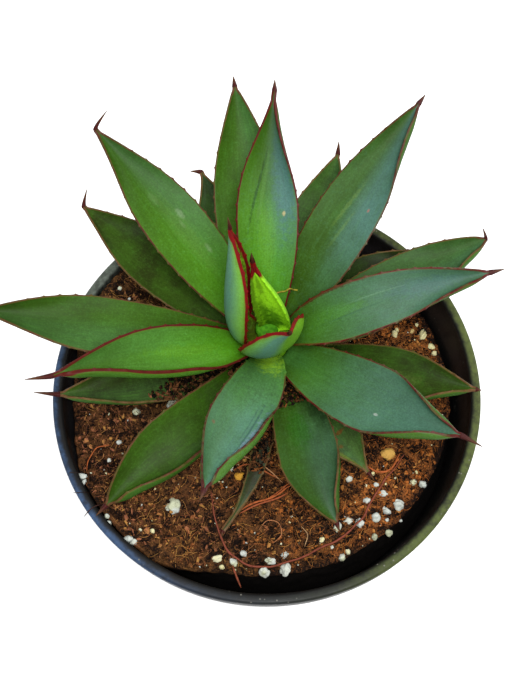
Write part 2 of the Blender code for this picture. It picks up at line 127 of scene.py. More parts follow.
CRUMB_RADII = (0.3 * MM, 1.3 * MM)
FLAKE_RADII = (0.25 * MM, 1.4 * MM)
FIBRE_RADII = (0.05, 0.11)  # millimetres
FIBRE_STEP = 0.8  # millimetres
FIBRE_STEPS = (3, 7)
FIBRE_CURL = 13  # degrees for each step, the same all along a fibre
FIBRE_WOBBLE = 14  # degrees for each step, at random
FIBRE_ARCH = 1.5  # millimetres
FIBRE_LIFT = 0.4 * MM
COIR_TONES = (0.0, 0.34, 0.72, 1.0)
COIR_WEIGHTS = (35, 29, 28, 8)
# tones below 0 are painted shade between the crumbs
LITTER_TONES = (-0.3, 0.0, 0.15, 0.35, 0.5)
LITTER_RADII = (0.45, 1.55)  # millimetres

# The stem
STEM_LOW, STEM_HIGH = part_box("stem")
STEM_CENTRE = Vector(((STEM_LOW.x + STEM_HIGH.x) / 2, (STEM_LOW.y + STEM_HIGH.y) / 2, 0))
STEM_TOP = STEM_HIGH.z
STEM_FOOT = STEM_LOW.z
STEM_TOP_RADIUS = 1.8 * MM
STEM_FOOT_RADIUS = 12.6 * MM
CROWN_BOTTOM = 104 * MM
CROWN_SHAPE = 0.8
FOOT_TAPER = Vector((0.7, 4 * MM))
STEM_SIDES = 96
STEM_RINGS = 70
SCAR_DEPTH = 0.12 * MM
SCAR_SPACING = 1.6 * MM

# The bud at the heart
BUD_RADIUS = 4 * MM
BUD_HEIGHT = 1.6 * MM
BUD_LEAN = Vector((-0.8, 0.4, 0)) * MM
BUD_RINGS = 20
BUD_SIDES = 48
BUD_BLUNTNESS = 1.6
BUD_SUNK = 0.4 * MM

# The spiral of leaves
DIVERGENCE = 137.5
FOURTH_LEAF_SEAT = 80
FIRST_SEAT_DEPTH = 1.5 * MM
SEAT_DROP = 1.8 * MM
SEAT_CROWDING = 0.83
LAST_YOUNG = 5  # places in the spiral
LAST_GREEN = 13
BOX_SLACK = 3 * MM  # how far a leaf may stand out of its solid's box

# Every leaf
ROOT_THICKNESS = 1.7 * MM
BELLY_THICKNESS = 2.7 * MM
TIP_THICKNESS = 1.3 * MM
MARGIN_THICKNESS = 0.7 * MM
KEEL = 1.6
SPINE_BASE_HALF_WIDTH = 0.75 * MM
SPINE_POINT_HALF_WIDTH = 0.08 * MM
ROOT_CUP = 50
TIP_CUP = 78
TOOTH_HEIGHT = 0.34 * MM
TOOTH_SPACING = 5 * MM
TOOTHED = (0.12, 0.9)
THICKEST = (0.25, 0.4)
CUPPED = (0.35, 0.6)
ROLLED = 0.4
MOST_CURL = 0.65
COLUMNS = 11  # from the midrib to each margin
TOOTH_STEPS = ((0, 0), (0.17, 0), (0.33, 0), (0.44, 0.45), (0.5, 1), (0.56, 0.3), (0.67, 0), (0.83, 0))
SPINE_RINGS = 12
SCALLOP = 0.14 * MM  # how far the margin dips between two teeth
RIPPLE = 0.35 * MM  # how far the margins rise and fall along the blade
RIPPLE_LENGTH = 14 * MM
RELIEF = 0.1 * MM
RELIEF_LENGTH = 5 * MM
FOLD_ARC = 4.2 * MM  # the stretch beside a margin that rolls up
FOLD_TURN = 80  # degrees that it rolls through
FOLD_FLESH = 1.5 * MM  # how much fuller the underside is there
FOLD_GROWTH = 0.2  # share of the blade over which the roll grows
FOLD_END = 0.9  # where the roll starts to fade, and over what share of the blade
FOLD_FADE = 0.09
ROUND_FROM = 0.985  # where the flat blade starts to turn into the round spine
ROUND_OVER = 0.06
WAVE_GROWTH = 0.2  # share of the blade over which its ripples grow
WAVE_END = 0.85  # where the ripples start to fade, and over what share of the blade
WAVE_FADE = 0.12


@dataclass
class Leaf:
    """One leaf. Lengths are in millimetres and angles in degrees."""

    order: int  # place in the spiral, from the heart outwards
    heading: float  # of the blade's tip from the stem, anticlockwise from +X
    reach: float  # of the blade's tip from the stem's axis
    height: float  # of the blade's tip above the pot's foot
    width: float  # at the widest, round the curve
    start: float  # rise above level where the leaf leaves the stem
    finish: float  # rise at the blade's tip
    belly: float = 0.47  # where the blade is widest, as a share of its length
    taper: float = 0.85  # below 1 the tip is blunt, and above 1 it is drawn out
    swing: float = 0  # turns the blade's start from its seat's heading
    bend: float = 0  # turns the blade's tip from its own heading
    back: float | None = None  # where an upright blade's back faces, or else its own heading
    cup: float = 24  # half angle of the curve across the blade's middle
    roll: float = 0  # lifts the anticlockwise margin
    root: float = 0.46  # width at the seat, as a share of the widest
    facing: float = 0.3  # share of the blade where it has turned to its own heading
    spine: float = 4  # length of the terminal spine
    spine_rise: float = 15
    spine_turn: float = 0  # from the blade's heading

    @property
    def name(self):
        return f"leaf_{self.order:02d}"

    @property
    def seat_heading(self):
        return FOURTH_LEAF_SEAT + DIVERGENCE * (self.order - 4)

    @property
    def seat_height(self):
        return STEM_TOP - FIRST_SEAT_DEPTH - SEAT_DROP * (self.order - 1) ** SEAT_CROWDING


LEAVES = (
    Leaf(
        1, 113, 12.3, 160, 13, 85, 70, 0.3, 1.2, back=81, cup=63, root=0.9, facing=0.04,
        spine=5, spine_rise=80,
    ),
    Leaf(
        2, 126, 20, 174, 21, 20, 70, 0.53, 1.25, swing=45, bend=-23, back=176, cup=87, spine=6, spine_rise=80
    ),
    Leaf(3, 297, 15.3, 160, 28, 47, 75, 0.37, 0.74, swing=-25, bend=3, back=300, cup=53, spine_rise=75),
    Leaf(4, 88, 68.5, 172, 21.5, 58, 36, 0.48, 1.25, swing=14, bend=-7),
    Leaf(
        5, 202, 72.4, 158, 18, 46, 13, 0.48, 1.02, swing=-5, bend=7, cup=29, roll=22, spine=9, spine_turn=-7
    ),
    Leaf(6, 8.7, 74.4, 152, 19, 59, 17, 0.4, 0.7, swing=6, bend=-4, cup=22, roll=-23, spine=5),
    Leaf(7, 135, 81, 166, 22, 52, 28, 0.5, 0.9, swing=10, spine=8, spine_rise=38, spine_turn=-88),
    Leaf(8, 253, 66, 156, 20.5, 52, 29, 0.54, 0.76, swing=5, bend=8, cup=28, roll=16),
    Leaf(9, 52.5, 83.4, 168, 22.5, 54, 30, 0.46, 0.78),
    Leaf(10, 181, 92.4, 150, 20, 42, 14, 0.6, 0.7, swing=8, bend=-5, roll=6),
    Leaf(11, 325, 75, 146, 25, 42, 19, 0.57, 0.95, swing=-10, bend=12, roll=-4, spine=8),
    Leaf(12, 98, 80.5, 158, 25, 52, 24, 0.46, 0.75),
    Leaf(13, 228, 80, 121, 21, 23, -11, 0.59, 0.75, swing=8, bend=3, cup=30, roll=18, spine=5, spine_rise=0),
    Leaf(14, 23, 83.7, 134, 23, 37, 8, 0.48, 0.62, swing=-9, bend=6, spine=5, spine_rise=50, spine_turn=95),
    Leaf(15, 145, 79.5, 134, 22, 41, 9, 0.5, 0.84, swing=-7, bend=-6, spine=7, spine_rise=41, spine_turn=-70),
    Leaf(16, 289.5, 69, 119, 21.5, 14, -10, 0.6, 0.8, swing=14, bend=15, spine=3, spine_rise=-10),
    Leaf(17, 69, 71.9, 134, 22.5, 40, 12, 0.43, 0.8, bend=5, spine=5, spine_rise=43, spine_turn=16),
    Leaf(18, 197.5, 74, 126, 19, 31, 8, 0.44, 0.73, swing=-4, bend=-12, roll=6, spine=9, spine_turn=-17),
    Leaf(19, 344, 74.2, 126, 22.5, 26, 7, 0.52, 0.94, swing=-11, bend=5, spine=2),
    Leaf(20, 111, 66.5, 130, 22, 36, 10, 0.43, 0.98, bend=3, spine=4.2, spine_turn=70),
    Leaf(21, 257, 67, 108, 7, 9, -1, 0.35, 1.2, swing=30, bend=-25, spine=2, spine_rise=0),
    Leaf(22, 31, 69, 121, 22.5, 26, 1, 0.43, 1.0, spine=3),
    Leaf(24, 307.5, 57.5, 111, 20.5, 14, -2, 0.43, 0.98, spine=3, spine_rise=0),
)


@dataclass
class Skin:
    """How one leaf is coloured and rolled. Left is its anticlockwise side, with the tip pointing away."""

    age: float  # 0 for young leaves, 1 for the oldest, and below 0 in the heart
    tone: float  # how light the whole leaf is
    lime: float  # yellow-green round the base
    left_bloom_and_sheen: float  # bluish waxy bloom, partly a painted reflection of the sky, on each half of the upper face
    right_bloom_and_sheen: float
    # bluish bloom on the underside, partly a painted reflection of the sky
    under_bloom_and_sheen: float = 0.15
    border: float = 0.3  # width of the coloured margin, in millimetres
    red: float = 0.8  # crimson at 1, tan at 0
    dusk: float = 0.35  # how much darker the blade's tip is than its middle
    painted_shade_side: float = 0.0  # painted shade: above 0 the left half is lighter, and below 0 the right half
    border_from: float = 0  # share of the blade where the coloured margin starts
    capped: float = 1.0  # share of the blade where it turns to horn
    under_side: float = 0  # 1 where only the underside's left half has the bloom and its painted sheen, and -1 for its right half
    left_fold: float = 0  # how far each margin is rolled up
    right_fold: float = 0
    fold_from: float = 0.3  # share of the blade where the roll starts


SKINS = {
    1: Skin(-1.0, 1.2, 0.0, 0.0, 0.0, 0.35, 0.5, 1.0, 0.0, painted_shade_side=-0.5, border_from=0.76, capped=0.86),
    2: Skin(-0.6, 1.15, 0.3, 0.0, 0.0, 0.9, 1.2, 1.0, 0.0, capped=0.94),
    3: Skin(-0.45, 1.25, 0.2, 0.2, 0.0, 1.2, 1.3, 1.0, 0.0, under_side=-0.95),
    4: Skin(0.1, 1.15, 0.9, 0.0, 0.5, 0.2, 0.26, 0.6, 0.7, painted_shade_side=-0.1, right_fold=0.4, fold_from=0.5),
    5: Skin(0.15, 1.15, 0.6, 0.05, 0.1, 0.1, 0.42, 0.6, 0.5, left_fold=1.0, fold_from=0.2),
    6: Skin(0.45, 1.03, 0.3, 0.5, 0.5, 0.0, 0.28, 0.65, 0.1, right_fold=0.5, fold_from=0.6),
    7: Skin(0.3, 1.1, 0.4, 0.0, 0.15, border=0.22, red=0.35, dusk=0.5),
    8: Skin(
        0.4, 1.3, 0.6, 0.6, 0.35, 0.05, 0.24, 0.5, 0.0, painted_shade_side=0.15, border_from=0.15,
        left_fold=1.0, fold_from=0.35,
    ),
    9: Skin(0.5, 1.14, 0.0, 0.08, 0.75, 0.0, 0.22, 0.4, 0.3, right_fold=0.5, fold_from=0.6),
    10: Skin(0.5, 1.34, 0.1, 0.12, 0.0, border=0.2, red=0.25, dusk=0.5, painted_shade_side=0.25),
    11: Skin(
        0.5, 1.14, 0.3, 0.5, 0.5, 0.0, 0.25, 0.6, 0.0, painted_shade_side=-0.12,
        left_fold=0.6, right_fold=0.7, fold_from=0.55,
    ),
    12: Skin(0.4, 1.6, 0.2, 0.0, 0.15, border=0.2, red=0.2, dusk=0.3, painted_shade_side=-0.38),
    13: Skin(0.7, 1.08, 0.05, 0.0, 0.0, border=0.22, red=0.2, dusk=0.2, left_fold=0.9, fold_from=0.35),
    14: Skin(
        0.55, 1.2, 0.2, 0.1, 0.25, border=0.24, red=0.2, dusk=0.0, painted_shade_side=-0.2, right_fold=0.5, fold_from=0.6
    ),
    15: Skin(0.95, 1.4, 0.0, 0.0, 0.0, border=0.2, red=0.15, dusk=0.0, painted_shade_side=0.12),
    16: Skin(
        0.62, 1.04, 0.1, 0.3, 0.05, border=0.2, red=0.15, dusk=0.1, painted_shade_side=-0.1, left_fold=0.7, fold_from=0.5
    ),
    17: Skin(0.75, 1.4, 0.1, 0.05, 0.1, border=0.2, red=0.0, dusk=0.0),
    18: Skin(
        1.0, 1.9, 0.0, 0.05, 0.0, border=0.2, red=0.0, dusk=0.0, painted_shade_side=0.1, left_fold=0.5, fold_from=0.4
    ),
    19: Skin(
        0.9, 1.25, 0.1, 0.0, 0.0, border=0.28, red=0.1, dusk=0.1, painted_shade_side=-0.22, right_fold=0.5, fold_from=0.6
    ),
    20: Skin(0.9, 1.05, 0.1, 0.05, 0.1, border=0.2, red=0.0, dusk=0.0),
    21: Skin(0.95, 0.9, 0.0, 0.2, 0.1, border=0.2, red=0.0, dusk=0.0),
    22: Skin(1.0, 0.75, 0.0, 0.0, 0.0, border=0.22, red=0.1, dusk=0.0),
    24: Skin(0.9, 2.3, 0.1, 0.05, 0.1, border=0.35, red=0.0, dusk=0.0),
}


@dataclass
class Mark:
    """A patch or a streak on a leaf's upper face. Some are the leaf's own colour, and some are painted light,
    shade or reflection, as noted.
    """

    along: float  # 0 at the seat, 1 at the blade's tip
    across: float  # 0 on the midrib, 1 on the left margin, -1 on the right one
    length: float  # half of it, as a share of the leaf
    width: float  # half of it, as a share of the way to the margin
    colour: tuple  # as it looks in the stage's light, 0 to 255
    strength: float
    slant: float = 0.0  # how far it moves across for each whole leaf along


MARKS = {  # by the leaf's place in the spiral
    1: (
        # painted light: a lighter base, against the shade that the leaves around it cast
        Mark(0.1, 0.0, 0.4, 0.8, (76, 156, 24), 0.85),
        # painted shade: the left margin, shaded by leaf 2
        Mark(0.5, 0.95, 0.6, 0.3, (48, 76, 14), 0.6),
        Mark(0.72, 0.05, 0.22, 0.5, (126, 184, 30), 0.7),
        # painted shade on the left half
        Mark(0.32, 0.5, 0.28, 0.42, (62, 142, 16), 0.7),
    ),
    2: (
        # painted shade: the inner face at the base, in shadow
        Mark(0.05, 0.0, 0.35, 2.0, (66, 70, 16), 0.9),
        # painted shade: the inner face up the middle, in shadow
        Mark(0.5, 0.0, 0.8, 1.6, (66, 52, 16), 0.85),
    ),
    4: (
        # bluish bloom with a painted reflection of the sky on the right half
        Mark(0.64, -0.6, 0.28, 0.5, (94, 146, 154), 0.7),
        # painted light: the lit middle of the blade
        Mark(0.36, 0.05, 0.22, 0.4, (124, 196, 62), 0.5),
        Mark(0.6, 0.36, 0.18, 0.07, (38, 84, 22), 0.7, -1.6),
        Mark(0.6, 0.16, 0.2, 0.1, (112, 172, 76), 0.55, -1.2),
        Mark(0.495, -0.533, 0.014, 0.08, (226, 210, 150), 0.95),
    ),
    5: (Mark(0.42, 0.0, 0.24, 0.3, (112, 178, 40), 0.45),),
    6: (
        Mark(0.34, 0.1, 0.16, 0.35, (92, 160, 50), 0.45),
        # bluish bloom with a painted reflection of the sky towards the tip
        Mark(0.74, 0.1, 0.22, 0.6, (84, 132, 140), 0.4),
        # the margin's red-brown, painted wider and darker as the shade under its roll
        Mark(0.3, 0.97, 0.22, 0.09, (92, 38, 34), 0.9),
        Mark(0.45, -0.1, 0.2, 0.05, (70, 122, 84), 0.6, 0.5),
        Mark(0.5, 0.3, 0.16, 0.04, (122, 168, 130), 0.5, 0.3),
    ),
    7: (
        Mark(0.558, -0.352, 0.03, 0.12, (150, 184, 134), 0.7),
        Mark(0.52, -0.2, 0.02, 0.08, (146, 180, 128), 0.4),
        Mark(0.383, -0.374, 0.025, 0.1, (140, 176, 116), 0.6),
        Mark(0.661, 0.023, 0.04, 0.15, (130, 168, 104), 0.35),
        Mark(0.48, -0.1, 0.24, 0.35, (108, 160, 58), 0.4),
    ),
    8: (
        Mark(0.25, 0.0, 0.25, 1.3, (86, 128, 88), 0.6),
        # painted sheen: a light-blue reflection along the rolled left margin
        Mark(0.76, 0.84, 0.32, 0.36, (150, 186, 206), 0.95),
        Mark(0.6, 0.56, 0.22, 0.05, (58, 100, 96), 0.7),
        Mark(0.56, 0.42, 0.16, 0.03, (70, 112, 104), 0.5),
        # painted light: a bright lime base where leaf 3 overhangs it
        Mark(0.07, 0.15, 0.16, 1.1, (178, 240, 60), 0.95),
        Mark(0.667, -0.707, 0.012, 0.08, (160, 110, 84), 0.6),
    ),
    9: (
        Mark(0.557, 0.153, 0.12, 0.08, (130, 172, 84), 0.45, -0.8),
        Mark(0.461, -0.078, 0.1, 0.07, (124, 166, 84), 0.4, -0.8),
        Mark(0.3, 0.2, 0.2, 0.6, (66, 104, 22), 0.4),
        Mark(0.03, 0.2, 0.16, 1.2, (92, 140, 42), 0.6),
        Mark(0.577, -0.533, 0.01, 0.05, (196, 140, 130), 0.9),
    ),
    11: (
        Mark(0.62, -0.336, 0.012, 0.05, (220, 232, 220), 0.9),
        Mark(0.1, 0.05, 0.2, 0.7, (92, 160, 72), 0.7),
        # bluish bloom with a painted reflection of the sky at the tip
        Mark(0.82, 0.0, 0.25, 1.3, (88, 140, 122), 0.5),
    ),
    12: (Mark(0.55, 0.0, 0.25, 0.5, (94, 142, 42), 0.45),),
    13: (
        # dark soil under the caught crumbs, with painted shade between them
        Mark(0.04, 0.0, 0.11, 2.0, (34, 22, 14), 1.0),
        Mark(0.28, 0.0, 0.12, 1.2, (76, 108, 46), 0.5),
        Mark(0.5, 0.75, 0.3, 0.3, (74, 106, 62), 0.35),
    ),
    # painted light: a lighter base, against the shade of the leaves above
    15: (Mark(0.05, 0.2, 0.3, 1.5, (74, 110, 44), 0.6),),
    16: (
        # dark soil under the caught crumbs, with painted shade between them
        Mark(0.1, -0.2, 0.2, 1.5, (34, 24, 14), 0.9),
        Mark(0.42, -0.15, 0.16, 0.5, (56, 130, 30), 0.5),
        Mark(0.3, 0.8, 0.16, 0.5, (34, 56, 30), 0.6),
    ),
    # dark soil under the caught crumbs, with painted shade between them
    18: (Mark(0.2, 0.0, 0.3, 2.5, (30, 22, 14), 1.0),),
    19: (
        Mark(0.5, 0.0, 0.25, 0.35, (104, 134, 54), 0.75),
        Mark(0.2, 0.5, 0.12, 0.8, (38, 52, 18), 0.6),
    ),
    21: (
        # dark soil under the caught crumbs, and painted shade where the leaf lies under leaves 8 and 16
        Mark(0.3, 0.0, 0.34, 3.0, (34, 22, 14), 1.0),
        Mark(0.6, 0.1, 0.25, 1.8, (62, 50, 34), 0.7),
        Mark(0.85, 0.0, 0.2, 1.2, (80, 86, 42), 0.6),
    ),
    24: (
        Mark(0.85, -0.85, 0.3, 0.3, (150, 160, 60), 0.6),
        Mark(0.96, -0.1, 0.03, 0.8, (120, 84, 34), 0.6),
        Mark(0.62, 0.1, 0.02, 0.25, (160, 84, 40), 0.7),
        Mark(0.72, -0.35, 0.02, 0.15, (150, 90, 40), 0.6),
    ),
}


@dataclass
class Patch:
    """A scatter of perlite grains on the soil. Lengths are in millimetres and the heading in degrees."""

    heading: float
    distance: float
    spread: float
    count: int
    size: float  # radius of the largest grain


PERLITE = (
    Patch(-49, 57, 11, 11, 2.2),
    Patch(-27, 61, 5, 4, 1.7),
    Patch(-24, 47, 0, 1, 2.7),
    Patch(-62, 52, 0, 1, 2.0),
    Patch(-86, 62, 10, 5, 2.3),
    Patch(-104, 63, 5, 2, 1.8),
    Patch(-130, 51, 0, 1, 2.9),
    Patch(-140, 70, 8, 3, 2.0),
    Patch(-158, 58, 6, 3, 1.9),
    Patch(-176, 51, 7, 4, 1.6),
    Patch(-110, 30, 4, 2, 2.0),
    Patch(24, 60, 7, 3, 2.1),
)
GRAIN_SEED = 4
SMALLEST_GRAIN = 0.6
GRAIN_SUNK = 0.25
GRAIN_ROUGHNESS = 0.35
CHIP_ROUGHNESS = 0.6
CHIP_RADII = (0.18, 0.45)  # millimetres
AMBER_GRAINS = (  # heading and distance of a round area, its radius, and how yellow its grains are
    (-110, 31, 2.8, 1.0),
    (-24, 47, 2.8, 0.9),
    (24, 60, 9, 0.45),
)
SMALL_GRAINS = (  # x, y and radius in millimetres, and how yellow
    (35, -36.5, 1.5, 0.0), (38.5, -30.5, 1.1, 0.0), (43, -38, 1.8, 0.0), (38, -42.5, 2.0, 0.0),
    (32.5, -42, 1.6, 0.25), (29, -43, 1.1, 0.5), (33, -46.5, 1.1, 0.0), (38.5, -48.5, 1.5, 0.05),
    (42.5, -47.5, 1.3, 0.0), (42, -43, 1.0, 0.0), (47, -43, 0.7, 0.0), (24, -46, 1.3, 0.0),
    (53, -26, 0.8, 0.5), (50, -28, 1.1, 0.55), (45.5, -28, 0.6, 0.3), (57, -29.5, 0.8, 0.2),
    (37.5, -26.5, 0.9, 0.5), (35, -31, 0.7, 0.3), (29, -29, 1.3, 0.1), (19, -50.5, 1.1, 0.35),
    (22.5, -53, 0.6, 0.1), (28, -54, 1.0, 0.3), (26, -56, 1.4, 0.1), (-52, -17, 1.3, 0.0),
    (-55, -24, 0.9, 0.05), (-54, -29, 1.0, 0.0), (-47, -7, 1.0, 0.1), (-48, -5, 0.9, 0.0),
    (-56, -6.5, 0.7, 0.1), (-54, -45, 1.1, 0.0), (-43, -49, 0.6, 0.2), (-39, -49, 1.0, 0.4),
    (-43, -40, 0.5, 0.1), (-8, -55.5, 1.4, 0.0), (-7, -51.5, 0.8, 0.0), (-15.5, -60, 1.0, 0.55),
    (3.5, -60.5, 1.0, 0.5), (-6, -29.5, 1.0, 0.35), (-8.5, -27.5, 0.8, 0.3), (-10.3, -26, 0.95, 0.0),
    (47.4, 26.7, 1.4, 0.55), (48.4, 28.6, 0.9, 0.5), (55.8, 30.5, 0.8, 0.5), (61, 22.2, 1.3, 0.55),
    (62, 19.6, 1.5, 0.4), (59.4, 24.2, 0.8, 0.55), (53.9, 27.6, 1.0, 0.8), (-33.5, -1.9, 1.7, 0.0),
    (-35, -2.8, 1.0, 0.0), (-63.4, -30.9, 1.8, 0.0), (-62.6, -33, 1.2, 0.0), (-53.3, -47.4, 1.4, 0.0),
    (-46.8, -52.6, 2.0, 0.0), (-45, -53.4, 1.2, 0.1), (-53.5, 39, 0.9, 0.0), (-50.2, 36, 0.7, 0.0),
    (5.2, -22, 0.8, 0.5),
)


@dataclass
class Strand:
    """One long fibre on the soil: its route and radius in millimetres, and its tone from dark to pale."""

    radius: float
    tone: float
    route: tuple
    lift: float  # how far its middle stands up


LONG_STRAND = (  # x and y in millimetres
    (-19.5, -34), (-19, -38), (-17.6, -45), (-14, -54), (-10.6, -57.2), (-6.7, -59.4), (-2.8, -60),
    (2.8, -59.6), (9, -57.6), (15.4, -54.8), (24.8, -50.5), (32, -44.3), (36, -38), (40.5, -30.5),
    (44.5, -25.5), (49, -20),
)
STRANDS = (
    Strand(0.36, 0.5, LONG_STRAND, 0.9),
    Strand(0.34, 0.65, ((-11.8, -59.6), (-10.5, -63), (-9, -66.8)), 0.3),
    Strand(0.36, 0.78, ((-10.5, -41), (-4, -37.9), (1.5, -36.1), (8.5, -31.4)), 0.5),
    Strand(0.34, 0.7, ((-9.8, -41.6), (-3.5, -38.8), (2.5, -36.6), (7.5, -34)), 0.2),
    Strand(0.22, 0.74, ((-2, -38.2), (3, -34.6), (8.6, -30.2)), 0.8),
    Strand(0.22, 0.92, ((-13.7, -22.8), (-9.5, -21.7), (-4.2, -23.1), (0.4, -26), (5.6, -30.7)), 0.6),
    Strand(0.16, 0.9, ((-3, -47), (0, -44), (4, -45), (5, -49), (2, -52)), 0.3),
    Strand(0.14, 0.95, ((12, -46), (14, -49), (13, -53)), 0.3),
    Strand(0.16, 0.0, ((-61, -30), (-64.5, -31.5), (-68.5, -30)), 7),
    Strand(0.14, 0.0, ((-60, -37), (-63, -38.5), (-66, -37)), 6),
    Strand(0.2, 0.05, ((-54, -41), (-58, -43), (-61.5, -45.5)), 5),
    Strand(0.34, 0.8, ((34.5, -23.3), (38, -26), (42, -26.2), (45, -23.5), (47.4, -19.7)), 0.5),
    Strand(0.25, 0.75, ((-12, -26), (-6.7, -24.4), (-1.7, -26.2), (3.9, -29.1)), 0.5),
    Strand(0.45, 1.0, ((-27.3, 9.5), (-28.3, 5.2), (-29.1, 1.4)), 1.2),
    Strand(0.2, 0.84, ((-62, -29), (-61.5, -24), (-59.5, -19.5), (-55, -18)), 0.5),
)


@dataclass
class Litter:
    """Crumbs caught on a leaf's base, between two shares along it and two across."""

    order: int
    start: float
    end: float
    right: float
    left: float
    count: int
    fade: float = 1.0  # above 1 they crowd towards the start


AXIL_LITTER = (
    Litter(16, 0.08, 0.26, -0.9, 0.5, 300, 1.4),
    Litter(18, 0.12, 0.46, 0.3, 0.98, 330),
    Litter(18, 0.12, 0.44, -0.98, 0.5, 700, 1.5),
    Litter(18, 0.4, 0.56, 0.4, 1.0, 70, 1.6),
    Litter(13, 0.05, 0.15, -0.95, 0.9, 200, 1.4),
    Litter(21, 0.12, 0.6, -0.95, 0.95, 460),
)
CAUGHT_FIBRE = (  # leaf, share along it and share across it
    (4, 0.14, -0.35),
    (4, 0.15, -0.62),
    (4, 0.155, -0.84),
    (4, 0.168, -1.0),
    (9, 0.166, 0.3),
    (9, 0.173, 0.15),
)
CAUGHT_FIBRE_RADIUS = 0.3 * MM
CAUGHT_FIBRE_STEP = 0.6 * MM
CAUGHT_FIBRE_LIFT = 0.6 * MM
CAUGHT_FIBRE_TONE = 1.2
STRAND_SIDES = 8
STRAND_LIFT = 0.9 * MM
STRAND_STEP = 0.8 * MM
WANDER = 0.4 * MM  # how far a strand strays from its route, and over what length
WANDER_LENGTH = 6 * MM
FIBRE_SIDES = 4
SCATTER_SEED = 11

# The stage
STAGE_LIGHT = 2.3  # how bright a white surface facing up is there
FLOOR_SIDES = 96
KEY_PLACE = Vector((0.1, -0.35, 1.3))
KEY_SIZE = 0.7
FILL_PLACE = Vector((0.9, 0.5, 0.8))
FILL_SIZE = 0.6

# The camera
IMAGE_WIDTH = 525  # pixels
IMAGE_HEIGHT = 700
CAMERA_TARGET = Vector((-1.566 * MM, 14.156 * MM, 118 * MM))
CAMERA_RISE = 68.531  # degrees above level
CAMERA_DISTANCE = 400 * MM
FOCAL_PIXELS = 1129.076
SENSOR = 36  # millimetres, along the image's long side
NEAREST = 10 * MM
FURTHEST = 20

BLACK = (0, 0, 0)
WHITE = (1, 1, 1)


def paint(red, green, blue):
    """A linear colour from its 8 bit display values."""
    shares = (value / 255 for value in (red, green, blue))
    return tuple(share / 12.92 if share <= 0.04045 else ((share + 0.055) / 1.055) ** 2.4 for share in shares)


def colour_property(name, description, colour):
    return FloatVectorProperty(
        name=name, description=description, default=colour, subtype="COLOR", size=3, min=0, max=1
    )


def count_property(name, description, count, most):
    return IntProperty(name=name, description=description, default=count, min=0, max=most)


def light_property(name, description, strength):
    return FloatProperty(name=name, description=description, default=strength, min=0)


class AgavePotLooks(bpy.types.PropertyGroup):
    """The pot's plastic."""

    plastic: colour_property("Plastic", "Colour of the clean plastic", (0.0052, 0.005, 0.0048))
    # painted reflection: the dust on the rim's left is tinted as a bluish sheen of the sky
    cool_dust_and_sheen: colour_property("Cool dust and sheen", "Colour of the film on the left of the rim", paint(50, 70, 98))
    warm_dust: colour_property("Warm dust", "Colour of the film on the right of the rim", paint(68, 77, 36))
    crumbs: colour_property("Specks", "Colour of the specks on the rim", paint(104, 102, 94))
    back_dust: colour_property("Back dust", "Colour of the film at the back left", paint(92, 100, 90))
    film: colour_property("Film", "Colour of the smear inside the wall, above the soil", paint(34, 33, 36))
    warm_film: colour_property("Warm film", "Colour of that smear on the right", paint(50, 42, 38))
    wobble: FloatProperty(
        name="Wobble",
        description="How far the thin rim is out of round",
        default=0.25 * MM,
        min=0,
        max=1 * MM,
        precision=5,
        unit="LENGTH",
    )


class AgaveSoilLooks(bpy.types.PropertyGroup):
    """The coconut fibre and bark that fill the pot."""

    # the darkest coir, which also stands as painted shade in the hollows and by the edge
    dark_coir_and_shade: colour_property("Hollows", "Colour of the gaps between crumbs", paint(18, 9, 6))
    coir: colour_property("Coir", "Colour of most of the crumbs", paint(86, 54, 28))
    bright: colour_property("Bright coir", "Colour of the freshest crumbs", paint(158, 90, 38))
    straw: colour_property("Straw", "Colour of the palest fibres", paint(172, 124, 64))
    # painted light: a rosy tint on the bright coir that stands for the cool light on the left
    rosy_light_tint: colour_property("Rosy light tint", "Colour of the fresh crumbs on the left", paint(142, 90, 72))
    olive: colour_property("Olive coir", "Colour of the greenish patches", paint(96, 74, 34))
    orange: colour_property("Orange coir", "Colour that tints the crumbs on the right", paint(160, 88, 38))
    # painted shade: the filling's side in the gap by the wall, the banks' side and the gaps between caught
    # crumbs
    pit_shade: colour_property("Pits", "Colour of the deepest gaps", paint(6, 4, 3))
    crumbs: count_property("Crumbs", "How many loose crumbs lie on top", 7500, 9900)
    bits: count_property("Bits", "How many flakes of bark lie on top", 16000, 24000)
    fibres: count_property("Fibres", "How many short fibres lie on top", 3200, 4000)


class AgaveStrandLooks(bpy.types.PropertyGroup):
    """The long fibres on the soil."""

    brown: colour_property("Brown", "Colour of most of them", paint(112, 56, 40))
    orange: colour_property("Orange", "Colour of the fresh ones", paint(150, 78, 38))
    dark: colour_property("Dark", "Colour of the fine hairs", paint(22, 12, 9))
    pale: colour_property("Pale", "Colour of the dry twig", paint(172, 148, 108))
    green: colour_property("Green", "Colour of the fibre caught in the heart", paint(136, 128, 40))
    shade: colour_property("Shade", "Colour in the grain", paint(58, 30, 18))


class AgavePerliteLooks(bpy.types.PropertyGroup):
    """The white grains on the soil."""

    white: colour_property("White", "Colour of a clean grain", paint(172, 177, 170))
    grime: colour_property("Grime", "Colour in a grain's pores", paint(112, 104, 82))
    cream: colour_property("Cream", "Colour of the yellowish grains", paint(212, 196, 96))
    amber: colour_property("Amber", "Colour of the stained grains", paint(178, 130, 44))
    cast: colour_property("Cast", "Yellowish cast on parts of the clean grains", paint(158, 160, 96))
    specks: count_property("Specks", "How many small chips lie about", 240, 600)


class AgaveStemLooks(bpy.types.PropertyGroup):
    """The stem and the bud on top of it."""

    bark: colour_property("Bark", "Colour of the stem's bark", paint(84, 64, 38))
    dark_bark: colour_property("Dark bark", "Colour in the bark's grain", paint(46, 34, 20))
    sheath: colour_property("Sheath", "Colour of the crown between the leaves", paint(95, 155, 21))
    bud: colour_property("Bud", "Colour of the bud", paint(52, 108, 16))
    pale_bud: colour_property("Pale bud", "Colour of the bud's lighter spots", paint(72, 134, 24))


